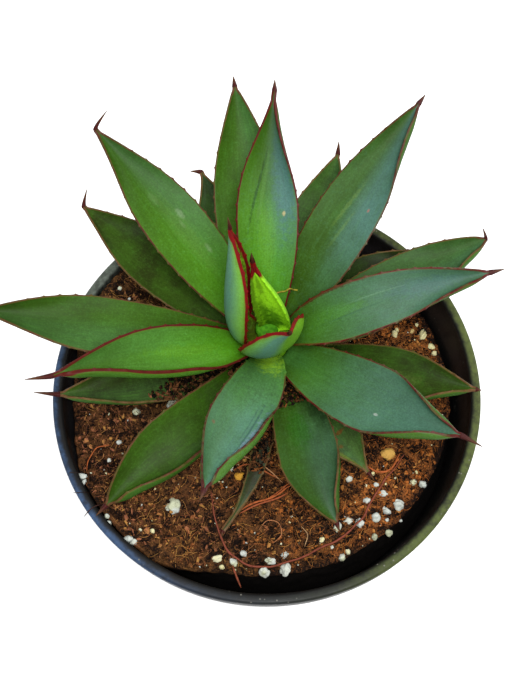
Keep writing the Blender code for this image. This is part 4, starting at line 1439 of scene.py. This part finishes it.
def make_strands(finish):
    """The long fibres and the twig that lie on the soil, and the fibre caught on a leaf."""
    tubes, tones = [], []
    for strand in STRANDS:
        flat = smooth_route([Vector((x, y, 0)) * MM for x, y in strand.route], STRAND_STEP)
        radius = strand.radius * MM
        route, radii = [], []
        for number, spot in enumerate(flat):
            share = number / (len(flat) - 1)
            wander = noise.noise(spot / WANDER_LENGTH) * WANDER
            height = surface(spot) - clods(spot) + STRAND_LIFT + radius
            height += strand.lift * MM * math.sin(math.pi * share)
            route.append(Vector((spot.x + wander, spot.y - wander, height)))
            ends = min(1, 0.35 + 4 * min(share, 1 - share))
            radii.append(radius * ends * (1 + 0.35 * noise.noise(spot / (1.7 * MM))))
        tubes.append(tube(route, radii, STRAND_SIDES))
        tones.append(strand.tone)
    caught = smooth_route([on_leaf(*spot, CAUGHT_FIBRE_LIFT) for spot in CAUGHT_FIBRE], CAUGHT_FIBRE_STEP)
    tubes.append(tube(caught, [CAUGHT_FIBRE_RADIUS] * len(caught), STRAND_SIDES))
    tones.append(CAUGHT_FIBRE_TONE)
    settle(join_tubes("long_fibres", tubes, tones), finish, "soil")


# The perlite


def clear(spot, radius, grains):
    """Whether a grain there touches none of the others."""
    return all((spot - centre.xy.to_3d()).length > radius + size for centre, size in grains)


def perlite_grains():
    """The centre and the radius of every large grain."""
    chance = random.Random(GRAIN_SEED)
    grains = []
    for patch in PERLITE:
        middle = direction(patch.heading, 0) * patch.distance * MM
        for number in range(patch.count):
            radius = patch.size * MM * (1 if number == 0 else chance.uniform(SMALLEST_GRAIN, 1))
            away = patch.spread * MM * math.sqrt(chance.random())
            spot = middle + direction(chance.uniform(0, 360), 0) * away
            limit = soil_edge_radius(heading_of(spot)) - radius - GAP
            spot = spot.normalized() * min(spot.length, limit)
            height = soil_height(spot) - GRAIN_SUNK * radius
            if clear(spot, radius, grains):
                grains.append((Vector((spot.x, spot.y, height)), radius))
    return grains


def perlite_finish(looks):
    """White and porous, with a stain by tone."""
    finish = Finish("perlite")
    place = finish.place()
    pores = finish.noise(place, 1500, 4, 0.7, 0.4)
    stain = finish.attribute("tone")
    cast = finish.ease(finish.noise(place, 110, 2), 0.5, 0.62, 0.0, 0.45)
    clean = finish.mix(cast, looks.white, looks.cast)
    clean = finish.mix(finish.ease(pores, 0.52, 0.75, 0, 0.6), clean, looks.grime)
    colour = finish.mix(finish.ease(stain, 0.0, 0.5), clean, finish.mix(pores, looks.cream, looks.white))
    colour = finish.mix(finish.ease(stain, 0.6, 1.0), colour, looks.amber)
    roughness = finish.spread(pores, 0.7, 0.9)
    finish.set(base_color=colour, roughness=roughness, specular_ior_level=0.15)
    finish.set(normal=finish.bump(finish.minus(1.0, pores), 0.2 * MM, 0.7))
    return finish.material


def stain_of(centre):
    """How yellow a large grain is."""
    for heading, distance, reach, stain in AMBER_GRAINS:
        if (centre.xy - (direction(heading, 0) * distance * MM).xy).length < reach * MM:
            return stain
    return 0.0


def make_perlite(looks):
    """Chunky grains at the places of the solid ones, and small chips between them."""
    chance = random.Random(GRAIN_SEED)
    shape, faces = ball(4)
    finish = perlite_finish(looks)
    large = perlite_grains()
    chunks, tones = [], []
    for centre, radius in large:
        chunks.append(chunk(shape, centre, radius, chance, GRAIN_ROUGHNESS))
        tones.append(stain_of(centre) or 0.3 * max(0, chance.gauss(0, 0.5)))
    settle(gather("perlite_grains", chunks, faces, tones), finish, "perlite", "soil")
    shape, faces = ball(3)
    chunks, tones = [], []
    for x, y, size, stain in SMALL_GRAINS:
        spot, radius = Vector((x, y, 0)) * MM, size * MM
        if clear(spot, radius, large):
            centre = (spot.x, spot.y, surface(spot) + 0.35 * radius)
            chunks.append(chunk(shape, centre, radius, chance, GRAIN_ROUGHNESS))
            tones.append(stain)
    settle(gather("small_perlite", chunks, faces, tones), finish, "perlite")
    shape, faces = ball(2)
    chunks, tones = [], []
    for _ in range(looks.specks):
        radius = chance.uniform(*CHIP_RADII) * MM
        tones.append(0.6 * chance.random() ** 2)
        spot = on_soil(chance, radius + GAP)
        centre = (spot.x, spot.y, surface(spot) + 0.5 * radius)
        chunks.append(chunk(shape, centre, radius, chance, CHIP_ROUGHNESS))
    settle(gather("perlite_chips", chunks, faces, tones), finish, "perlite")


# The stem


def stem_radius(height):
    """The stem's radius: it widens from the top down to the soil."""
    share = max(0.0, min(1.0, (STEM_TOP - height) / (STEM_TOP - CROWN_BOTTOM)))
    return STEM_TOP_RADIUS + (STEM_FOOT_RADIUS - STEM_TOP_RADIUS) * share**CROWN_SHAPE


def stem_finish(looks):
    """Fibrous bark below, and the green crown above it."""
    finish = Finish("stem_skin")
    place = finish.place()
    z = finish.parts(place)[2]
    drawn_out = finish.add("ShaderNodeVectorMath", {0: place, 1: (1, 1, 0.15)}, operation="MULTIPLY")
    fibres = finish.noise(drawn_out, 1400, 4)
    bark = finish.mix(finish.ease(fibres, 0.45, 0.7, 0, 0.6), looks.bark, looks.dark_bark)
    colour = finish.mix(finish.ease(z, CROWN_BOTTOM, STEM_TOP - 8 * MM), bark, looks.sheath)
    roughness = finish.spread(fibres, 0.5, 0.75)
    finish.set(base_color=colour, roughness=roughness, specular_ior_level=0.1)
    finish.set(normal=finish.bump(fibres, 0.1 * MM, 0.5))
    return finish.material


def make_stem(looks):
    """A stout cone ringed by the scars where leaves sit."""
    profile = []
    for ring in range(STEM_RINGS + 1):
        height = STEM_TOP + (STEM_FOOT + FOOT_TAPER.y - STEM_TOP) * ring / STEM_RINGS
        scar = SCAR_DEPTH * (0.5 + 0.5 * math.cos(math.tau * height / SCAR_SPACING))
        profile.append((stem_radius(height) - scar, height))
    profile += [(STEM_FOOT_RADIUS * FOOT_TAPER.x, STEM_FOOT), (0, STEM_FOOT)]
    stem = turned("stem_core", [(0, STEM_TOP), *profile], STEM_SIDES)
    stem.data.transform(Matrix.Translation(STEM_CENTRE))
    settle(stem, stem_finish(looks), "stem", "stem", sharp=50)


def make_bud(looks):
    """The unopened heart that stands on the stem's top."""
    finish = Finish("heart_bud")
    grain = finish.noise(finish.place(), 900, 3)
    green = finish.mix(finish.spread(grain), looks.bud, looks.pale_bud)
    roughness = finish.spread(grain, 0.6, 0.75)
    finish.set(base_color=green, roughness=roughness, specular_ior_level=0.05)
    profile = [(0, 0)]
    for step in range(BUD_RINGS + 1):
        share = step / BUD_RINGS
        profile.append((BUD_RADIUS * math.sqrt(max(0.0, 1 - share**BUD_BLUNTNESS)), BUD_HEIGHT * share))
    bud = turned("heart_bud", profile, BUD_SIDES)
    for vertex in bud.data.vertices:
        vertex.co += BUD_LEAN * (vertex.co.z / BUD_HEIGHT) ** 1.5
    bud.data.transform(Matrix.Translation(STEM_CENTRE + upward(STEM_TOP - BUD_SUNK)))
    settle(bud, finish.material, "young_leaf")


# The leaves


def bezier(points, share):
    """A point on the curve that four control points give."""
    a, b, c, d = points
    rest = 1 - share
    return a * rest**3 + b * (3 * rest * rest * share) + c * (3 * rest * share * share) + d * share**3


def bezier_slope(points, share):
    """The unit vector along that curve."""
    a, b, c, d = points
    rest = 1 - share
    slope = (b - a) * (rest * rest) + (c - b) * (2 * rest * share) + (d - c) * (share * share)
    return slope.normalized()


def nearest_turn(angle, reference):
    """The same angle, within half a turn of the reference."""
    return reference + (angle - reference + 180) % 360 - 180


def blade_curve(leaf):
    """The midrib from the seat to the blade's tip, as four control points."""
    height = leaf.seat_height
    radius = stem_radius(height) + 2 * GAP
    root = STEM_CENTRE + direction(leaf.seat_heading, 0) * radius + upward(height)
    tip = STEM_CENTRE + direction(leaf.heading, 0) * leaf.reach * MM + upward(leaf.height * MM)
    handle = (tip - root).length / 3
    return (
        root,
        root + direction(leaf.seat_heading + leaf.swing, leaf.start) * handle,
        tip - direction(leaf.heading + leaf.bend, leaf.finish) * handle,
        tip,
    )


def spine_curve(leaf, tip):
    """The terminal spine's axis from the blade's tip to its point, as four control points."""
    length = leaf.spine * MM
    point = tip + direction(leaf.heading + leaf.spine_turn, leaf.spine_rise) * length
    before = tip + direction(leaf.heading + leaf.bend, leaf.finish) * (length / 9)
    return (tip, before, before.lerp(point, 0.5), point)


def outline(share, leaf):
    """The blade's half width along its length, over the widest."""
    if share < leaf.belly:
        return leaf.root + (1 - leaf.root) * math.sin(math.pi / 2 * share / leaf.belly)
    return max(0, math.cos(math.pi / 2 * (share - leaf.belly) / (1 - leaf.belly))) ** leaf.taper


@dataclass
class Slice:
    """One slice across a leaf, square to its midrib."""

    centre: Vector
    along: Vector
    side: Vector
    half_width: float
    half_thickness: float
    half_margin: float
    keel: float
    cup: float
    folds: tuple  # how far the left and the right margin are rolled up
    roundness: float  # 0 on the blade, 1 on the spine

    def midline(self, across):
        """(distance out, distance up, turn, fold) at shares of the way to one margin."""
        fold = self.folds[0] if across[-1] > 0 else self.folds[1]
        zone = min(FOLD_ARC, 0.6 * self.half_width)
        spots, out, up, last, last_turn = [], 0.0, 0.0, 0.0, 0.0
        for share in (abs(value) for value in across):
            length = share * self.half_width
            rolled = blend(0, 1, (length - self.half_width + zone) / zone) if fold else 0
            turn = self.cup * share + fold * math.radians(FOLD_TURN) * rolled
            middle = (turn + last_turn) / 2
            out += (length - last) * math.cos(middle)
            up += (length - last) * math.sin(middle)
            spots.append((out, up, turn, fold))
            last, last_turn = length, turn
        return spots

    def point(self, spot, across, face, outward=0.0, lift=0.0, swell=0.0):
        """A point on the upper face (1) or the underside (-1), or on the margin's edge (0)."""
        out, up, turn, fold = spot
        hand = 1 if across > 0 else -1
        above = self.along.cross(self.side)
        inward = above * math.cos(turn) - self.side * (hand * math.sin(turn))
        away = self.side * (hand * math.cos(turn)) + above * math.sin(turn)
        flesh = self.half_thickness - self.half_margin
        thick = self.half_margin + flesh * (1 - across * across) + swell
        if face < 0:
            thick += flesh * (self.keel - 1) * (1 - across**4)
            thick += fold * FOLD_FLESH * blend(0, 1, abs(across) / 0.7) * (1 - abs(across) ** 6)
        blade = self.centre + self.side * (hand * out) + above * (up + lift) + inward * (face * thick)
        blade += away * outward
        if self.roundness == 0:
            return blade
        wide = across * self.half_width
        high = face * math.sqrt(max(0, 1 - across * across)) * self.half_width
        if face == 0:
            wide = across * (self.half_width + outward)
        return blade.lerp(self.centre + self.side * wide + above * high, self.roundness)


def slice_of(leaf, skin, share):
    """The slice at a share of the leaf: 0 at the seat, 1 at the blade's tip and 2 at the spine's point."""
    blade = blade_curve(leaf)
    if share <= 1:
        centre, along = bezier(blade, share), bezier_slope(blade, share)
        half = max(leaf.width / 2 * MM * outline(share, leaf), SPINE_BASE_HALF_WIDTH)
        thickness = blend(ROOT_THICKNESS, BELLY_THICKNESS, share / THICKEST[0])
        if share > THICKEST[1]:
            thickness = blend(BELLY_THICKNESS, TIP_THICKNESS, (share - THICKEST[1]) / (1 - THICKEST[1]))
        margin = MARGIN_THICKNESS
        keel = blend(1, KEEL, share / THICKEST[0])
        cup = blend(ROOT_CUP, leaf.cup, share / CUPPED[0])
        if share > CUPPED[1]:
            cup = blend(leaf.cup, max(TIP_CUP, leaf.cup), (share - CUPPED[1]) / (1 - CUPPED[1]))
        heading = math.degrees(math.atan2(along.y, along.x)) if leaf.back is None else leaf.back
        heading = blend(leaf.seat_heading, nearest_turn(heading, leaf.seat_heading), share / leaf.facing)
    else:
        spine = spine_curve(leaf, blade[3])
        centre, along = bezier(spine, share - 1), bezier_slope(spine, share - 1)
        half = SPINE_BASE_HALF_WIDTH + (SPINE_POINT_HALF_WIDTH - SPINE_BASE_HALF_WIDTH) * (share - 1) ** 1.5
        thickness = min(TIP_THICKNESS, 2 * half)
        margin = thickness / 2
        keel = 1
        cup = TIP_CUP
        heading = leaf.heading + leaf.bend if leaf.back is None else leaf.back
    cup = min(math.radians(cup), half / (thickness * MOST_CURL))
    level = direction(heading + 90, 0)
    side = (level - along * level.dot(along)).normalized()
    roll = blend(0, leaf.roll, share / ROLLED)
    side = Matrix.Rotation(math.radians(-roll), 3, along) @ side
    reach = blend(0, 1, (share - skin.fold_from) / FOLD_GROWTH) * blend(1, 0, (share - FOLD_END) / FOLD_FADE)
    folds = (skin.left_fold * reach, skin.right_fold * reach)
    roundness = blend(0, 1, (share - ROUND_FROM) / ROUND_OVER)
    return Slice(centre, along, side, half, thickness / 2, margin / 2, keel, cup, folds, roundness)


def seated(point):
    """The point moved level onto the stem's skin, a gap outside it."""
    out = Vector((point.x, point.y, 0)) - STEM_CENTRE
    out = out.normalized() * (stem_radius(point.z) + GAP)
    return STEM_CENTRE + out + upward(point.z)


def leaf_stations(leaf):
    """Each slice's share of the leaf with how far its margins stand out, and the share of one tooth."""
    root, _, _, tip = blade_curve(leaf)
    steps = max(10, round((tip - root).length / TOOTH_SPACING))
    stations = []
    for step in range(steps):
        toothed = TOOTHED[0] < (step + 0.5) / steps < TOOTHED[1]
        for fraction, tooth in TOOTH_STEPS:
            dip = -SCALLOP * math.sin(math.pi * ((fraction + 0.5) % 1)) if toothed else 0
            stations.append(((step + fraction) / steps, tooth * TOOTH_HEIGHT + dip if toothed else 0))
    stations.append((1, 0))
    stations += [(1 + (ring + 1) / SPINE_RINGS, 0) for ring in range(SPINE_RINGS)]
    return stations, 1 / steps


def column_shares():
    """Shares of the way from the midrib to a margin, closer together near the margin."""
    shares = []
    for column in range(COLUMNS + 1):
        even = column / COLUMNS
        shares.append(0.45 * even + 0.55 * math.sin(math.pi / 2 * even))
    return shares


def make_leaf(leaf, skin, material):
    """The blade and its spine as one closed skin, with a rounded, toothed margin on each side."""
    stations, first_step = leaf_stations(leaf)
    left = column_shares()
    right = [-share for share in left]
    upper = (*reversed(left), *right[1:])
    ring = [(across, 1) for across in upper] + [(-1, 0)]
    ring += [(across, -1) for across in reversed(upper)] + [(1, 0)]
    verts = []
    values = {"along": [], "across": [], "edge": [], "under": []}
    offset = Vector((leaf.order * 7.3, 0, 0))

    def put(spot, share, across, face, slice_):
        if share < first_step:
            spot = spot.lerp(seated(spot), 1 - share / first_step)
        verts.append(spot)
        values["along"].append(share)
        values["across"].append(across)
        values["edge"].append((1 - abs(across)) * slice_.half_width / MM)
        values["under"].append(0.5 - face / 2)

    length = (blade_curve(leaf)[3] - blade_curve(leaf)[0]).length
    for share, tooth in stations:
        slice_ = slice_of(leaf, skin, share)
        spots = dict(zip(left, slice_.midline(left)))
        spots.update(zip(right[1:], slice_.midline(right)[1:]))
        calm = blend(0, 1, share / WAVE_GROWTH) * blend(1, 0, (share - WAVE_END) / WAVE_FADE)
        run = share * length
        for across, face in ring:
            hand = 1 if across > 0 else -1
            wave = noise.noise(Vector((run / RIPPLE_LENGTH, hand * 3, 0)) + offset)
            lift = RIPPLE * wave * calm * across**4
            dent = Vector((across * slice_.half_width, run * 0.6, face * 9 * MM)) / RELIEF_LENGTH
            swell = RELIEF * calm * (1 - across**2) * noise.noise(dent + offset)
            outward = 0.0
            if abs(across) == 1:
                outward = tooth * 0.35 if face else tooth + 0.75 * slice_.half_margin
            put(slice_.point(spots[across], across, face, outward, lift, swell), share, across, face, slice_)
    rings = len(stations)
    obj = mesh_object(f"{leaf.name}_skin", verts, ring_faces(rings, len(verts) // rings), values)
    face_outward(obj)
    slot = "old_leaf"
    if leaf.order <= LAST_GREEN:
        slot = "green_leaf"
    if leaf.order <= LAST_YOUNG:
        slot = "young_leaf"
    settle(obj, material, slot, leaf.name, sharp=60)
    return obj


def body_green(looks, age):
    """The heart's yellow-green, then fresh, mature and old green."""
    if age < 0:
        return mixed(looks.fresh, looks.heart, -age)
    if age < 0.5:
        return mixed(looks.fresh, looks.mature, age * 2)
    return mixed(looks.mature, looks.old, age * 2 - 1)


def marked(finish, colour, mark, along, across, mottle):
    """The colour with one ragged mark on it."""
    ahead = finish.minus(along, mark.along)
    aside = finish.minus(across, finish.plus(finish.times(ahead, mark.slant), mark.across))
    ahead, aside = finish.math("DIVIDE", ahead, mark.length), finish.math("DIVIDE", aside, mark.width)
    away = finish.length(finish.vector(ahead, aside, 0.0))
    away = finish.plus(away, finish.spread(mottle, -0.25, 0.25))
    return finish.mix(finish.ease(away, 1.1, 0.3, 0.0, mark.strength), colour, shown(*mark.colour))


def leaf_finish(leaf, skin, looks):
    """Waxy skin: streaks along the blade, a lime base, bluish bloom that is partly a painted reflection of
    the sky, painted shade on one half, marks of which some are painted light or shade, and a coloured margin
    and spine.
    """
    finish = Finish(f"{leaf.name}_skin")
    place = finish.place()
    along, across = finish.attribute("along"), finish.attribute("across")
    edge, under = finish.attribute("edge"), finish.attribute("under")
    out = finish.size(across)
    running = finish.vector(finish.times(across, 10.0), finish.times(along, 5.0), leaf.order * 3.7)
    streaks = finish.noise(running, 1.3, 4, 0.6, 0.2)
    patches = finish.noise(place, 130, 3, 0.55)
    mottle = finish.noise(place, 620, 4, 0.65)
    speckle = finish.noise(place, 1700, 3, 0.75)

    # how far the pale streaks take on the bloom colour, with its painted sheen
    waxy = min(0.7, 0.15 + skin.left_bloom_and_sheen + skin.right_bloom_and_sheen)
    youth = 1 - 0.6 * max(0.0, skin.age)
    tilt = abs(skin.painted_shade_side)
    body = mixed(BLACK, body_green(looks, skin.age), skin.tone)
    lime = mixed(BLACK, looks.lime, skin.tone)
    bloom_and_sheen = mixed(BLACK, looks.bloom_and_sheen, skin.tone)
    pale = mixed(lime, bloom_and_sheen, waxy)
    chalky_and_sheen = mixed(bloom_and_sheen, looks.heart, 0.05) if skin.age < 0 else bloom_and_sheen

    upper = finish.mix(finish.spread(patches), mixed(body, BLACK, 0.06), mixed(body, lime, 0.1))
    fresh = finish.times(finish.ease(along, 0.1, 0.75, skin.lime, 0.0), finish.ease(out, 0.15, 1.0, 1.0, 0.4))
    upper = finish.mix(fresh, upper, lime)
    # bluish bloom over the upper face, partly a painted reflection of the sky
    wax_and_sheen = finish.times(
        finish.between(finish.ease(across, -0.45, 0.35), skin.right_bloom_and_sheen, skin.left_bloom_and_sheen),
        finish.ease(along, 0.15, 0.6, 0.1, 1.0),
        finish.ease(finish.plus(patches, streaks), 0.75, 1.25, 0.75, 1.1),
    )
    upper = finish.mix(wax_and_sheen, upper, bloom_and_sheen)
    for mark in MARKS.get(leaf.order, ()):
        upper = marked(finish, upper, mark, along, across, mottle)
    # bloom on the underside, partly a painted reflection of the sky
    chalk_and_sheen = finish.times(
        finish.ease(finish.times(across, skin.under_side), 0.0, 0.4, 1 - abs(skin.under_side), 1.0),
        finish.ease(out, 0.35, 0.95, 1.2, 0.25),
        finish.ease(patches, 0.25, 0.75, 0.8 * skin.under_bloom_and_sheen, skin.under_bloom_and_sheen),
    )
    colour = finish.mix(under, upper, finish.mix(chalk_and_sheen, mixed(body, looks.under, 0.5), chalky_and_sheen))

    dots = finish.times(
        finish.ease(finish.cells(place, 420), 0.1, 0.05), finish.ease(patches, 0.52, 0.6, 0.0, 0.4 * youth)
    )
    # painted shade over one half of the blade
    shade = finish.ease(finish.times(across, -skin.painted_shade_side), -0.7 * tilt, 0.7 * tilt + 0.001)
    for share, tint in (
        (finish.ease(streaks, 0.35, 0.7, 0.0, 0.16), mixed(body, BLACK, 0.6)),
        (finish.ease(streaks, 0.5, 0.25, 0.0, 0.16 * youth), pale),
        (finish.ease(mottle, 0.5, 0.75, 0.0, 0.2 * youth), pale),
        (finish.ease(mottle, 0.5, 0.3, 0.0, 0.14), mixed(body, BLACK, 0.5)),
        (finish.ease(speckle, 0.6, 0.35, 0.0, 0.22), mixed(body, BLACK, 0.9)),
        (finish.ease(speckle, 0.55, 0.8, 0.0, 0.3 * youth), mixed(pale, WHITE, 0.05)),
        (dots, looks.lining),
        (finish.ease(along, 0.45, 1.0, 0.0, skin.dusk), mixed(body, BLACK, 0.8)),
        (finish.times(shade, tilt), BLACK),
    ):
        colour = finish.mix(share, colour, tint)

    width = finish.times(
        finish.spread(finish.noise(running, 1.6, 2), 0.7 * skin.border, 1.25 * skin.border),
        finish.between(under, 1.0, 0.6),
    )
    past = finish.math("DIVIDE", edge, width)
    on_blade = finish.ease(along, 0.02 + skin.border_from, 0.08 + skin.border_from)
    lining = finish.times(finish.ease(past, 2.2, 1.4, 0.0, 0.3), on_blade)
    colour = finish.mix(lining, colour, looks.lining)
    horn = mixed(looks.tan, looks.russet, skin.red * 2)
    if skin.red > 0.5:
        horn = mixed(looks.russet, looks.crimson, skin.red * 2 - 1)
    tint = finish.mix(finish.ease(mottle, 0.35, 0.65, 0.0, 0.5), horn, looks.spine)
    worn = finish.ease(finish.noise(running, 4.0, 3, 0.7), 0.35, 0.6, 0.5 if skin.age > 0.2 else 1.0, 1.0)
    rim = finish.times(finish.ease(past, 1.15, 0.8), on_blade, worn)
    reach = finish.plus(along, finish.ease(out, 0.2, 1.0, 0.0, 0.05))
    rim = finish.math("MAXIMUM", rim, finish.ease(reach, skin.capped, skin.capped + 0.02))
    colour = finish.mix(rim, colour, tint)
    tip = finish.mix(finish.ease(along, 1.3, 2.0), looks.spine, mixed(looks.spine, looks.tan, 0.5))
    colour = finish.mix(finish.ease(along, 0.985, 1.03), colour, tip)

    roughness = finish.ease(finish.plus(mottle, wax_and_sheen), 0.4, 1.3, 0.4, 0.55)
    gloss = finish.ease(wax_and_sheen, 0.0, 0.7, 0.05, 0.2)
    finish.set(base_color=colour, roughness=roughness, specular_ior_level=gloss)
    height = finish.plus(finish.times(streaks, 0.5), finish.times(mottle, 0.5))
    finish.set(normal=finish.bump(height, 0.14 * MM, 0.5))
    return finish.material


# The stage


def make_floor(looks):
    bm = bmesh.new()
    bmesh.ops.create_circle(bm, cap_ends=True, segments=FLOOR_SIDES, radius=looks.floor_radius)
    floor = from_bmesh("floor", bm)
    finish = Finish("floor")
    fine = finish.noise(finish.place(), 40, 3)
    colour = finish.mix(finish.spread(fine), looks.floor, mixed(looks.floor, WHITE, 0.3))
    finish.set(base_color=colour, roughness=0.85)
    floor.data.materials.append(finish.material)


def soft_light(name, power, size, place):
    """A round light that faces the soil."""
    data = bpy.data.lights.new(name, "AREA")
    data.shape = "DISK"
    data.size = size
    data.energy = power
    light = linked(name, data)
    light.location = place
    light.rotation_euler = (upward(SOIL_LEVEL) - place).to_track_quat("-Z", "Y").to_euler()


def make_lights(looks):
    world = bpy.data.worlds.new("soft_sky")
    world.use_nodes = True
    sky = world.node_tree.nodes["Background"]
    sky.inputs["Color"].default_value = (*WHITE, 1)
    sky.inputs["Strength"].default_value = looks.sky
    bpy.context.scene.world = world
    soft_light("key", looks.key, KEY_SIZE, KEY_PLACE)
    soft_light("fill", looks.fill, FILL_SIZE, FILL_PLACE)


def make_camera():
    """The camera that took the photo's view."""
    data = bpy.data.cameras.new("camera")
    data.sensor_fit = "AUTO"
    data.sensor_width = SENSOR
    data.lens = FOCAL_PIXELS * SENSOR / max(IMAGE_WIDTH, IMAGE_HEIGHT)
    data.clip_start = NEAREST
    data.clip_end = FURTHEST
    camera = linked("camera", data)
    back = direction(-90, CAMERA_RISE)
    camera.location = CAMERA_TARGET + back * CAMERA_DISTANCE
    camera.rotation_euler = (-back).to_track_quat("-Z", "Y").to_euler()
    bpy.context.scene.camera = camera


class AGAVE_OT_add_pot(bpy.types.Operator):
    """Adds the black plastic pot with its rolled rim and drain holes"""

    bl_idname = "agave.add_pot"
    bl_label = "Pot"

    def execute(self, context):
        make_pot(context.scene.agave_pot)
        return {"FINISHED"}


class AGAVE_OT_add_filling(bpy.types.Operator):
    """Adds the coir filling of the pot"""

    bl_idname = "agave.add_filling"
    bl_label = "Coir filling"

    def execute(self, context):
        make_plug(context.scene.agave_soil)
        return {"FINISHED"}


class AGAVE_OT_add_litter(bpy.types.Operator):
    """Adds the loose crumbs, fibres and strands on the filling"""

    bl_idname = "agave.add_litter"
    bl_label = "Crumbs and fibres"

    def execute(self, context):
        looks = context.scene.agave_soil
        finish = soil_finish(looks, "loose_coir")
        make_banks(finish)
        make_crumbs(looks, finish)
        make_axil_litter(finish)
        make_fibres(looks, finish)
        make_strands(strand_finish(context.scene.agave_strands))
        return {"FINISHED"}


class AGAVE_OT_add_perlite(bpy.types.Operator):
    """Adds the perlite grains and chips"""

    bl_idname = "agave.add_perlite"
    bl_label = "Perlite"

    def execute(self, context):
        make_perlite(context.scene.agave_perlite)
        return {"FINISHED"}


class AGAVE_OT_add_stem(bpy.types.Operator):
    """Adds the stem that carries the leaves"""

    bl_idname = "agave.add_stem"
    bl_label = "Stem"

    def execute(self, context):
        make_stem(context.scene.agave_stem)
        make_bud(context.scene.agave_stem)
        return {"FINISHED"}


class AGAVE_OT_add_leaves(bpy.types.Operator):
    """Adds every leaf of the spiral with its margins and spine"""

    bl_idname = "agave.add_leaves"
    bl_label = "Leaves"

    def execute(self, context):
        looks = context.scene.agave_leaves
        for leaf in LEAVES:
            skin = SKINS[leaf.order]
            obj = make_leaf(leaf, skin, leaf_finish(leaf, skin, looks))
            low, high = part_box(leaf.name)
            for axis in range(3):
                values = [spot[axis] for spot in obj.bound_box]
                off = max(abs(min(values) - low[axis]), abs(max(values) - high[axis]))
                if off > BOX_SLACK:
                    raise ValueError(f"{obj.name} leaves its solid's box by {off / MM:.1f} mm")
        return {"FINISHED"}


class AGAVE_OT_set_stage(bpy.types.Operator):
    """Sets up the floor, the light and the camera"""

    bl_idname = "agave.set_stage"
    bl_label = "Stage"

    def execute(self, context):
        looks = context.scene.agave_stage
        make_floor(looks)
        make_lights(looks)
        make_camera()
        context.scene.view_settings.view_transform = "Standard"
        return {"FINISHED"}


OPERATORS = (
    AGAVE_OT_add_pot,
    AGAVE_OT_add_filling,
    AGAVE_OT_add_litter,
    AGAVE_OT_add_perlite,
    AGAVE_OT_add_stem,
    AGAVE_OT_add_leaves,
    AGAVE_OT_set_stage,
)


class AGAVE_PT_pieces(bpy.types.Panel):
    """The sizes and colours, and a button for each group of pieces"""

    bl_idname = "AGAVE_PT_pieces"
    bl_label = "Potted agave"
    bl_space_type = "VIEW_3D"
    bl_region_type = "UI"
    bl_category = "Agave"

    def draw(self, context):
        layout = self.layout
        for operator in OPERATORS:
            layout.operator(operator.bl_idname)
        for key, group in GROUPS.items():
            box = layout.box()
            box.label(text=group.__doc__)
            for name in group.__annotations__:
                box.prop(getattr(context.scene, key), name)


CLASSES = (*GROUPS.values(), *OPERATORS, AGAVE_PT_pieces)


def register():
    for cls in CLASSES:
        bpy.utils.register_class(cls)
    for key, group in GROUPS.items():
        setattr(bpy.types.Scene, key, PointerProperty(type=group))


def unregister():
    for key in GROUPS:
        delattr(bpy.types.Scene, key)
    for cls in reversed(CLASSES):
        bpy.utils.unregister_class(cls)


def main():
    register()
    bpy.ops.agave.add_pot()
    bpy.ops.agave.add_filling()
    bpy.ops.agave.add_litter()
    bpy.ops.agave.add_perlite()
    bpy.ops.agave.add_stem()
    bpy.ops.agave.add_leaves()
    bpy.ops.agave.set_stage()


if __name__ == "__main__":
    main()
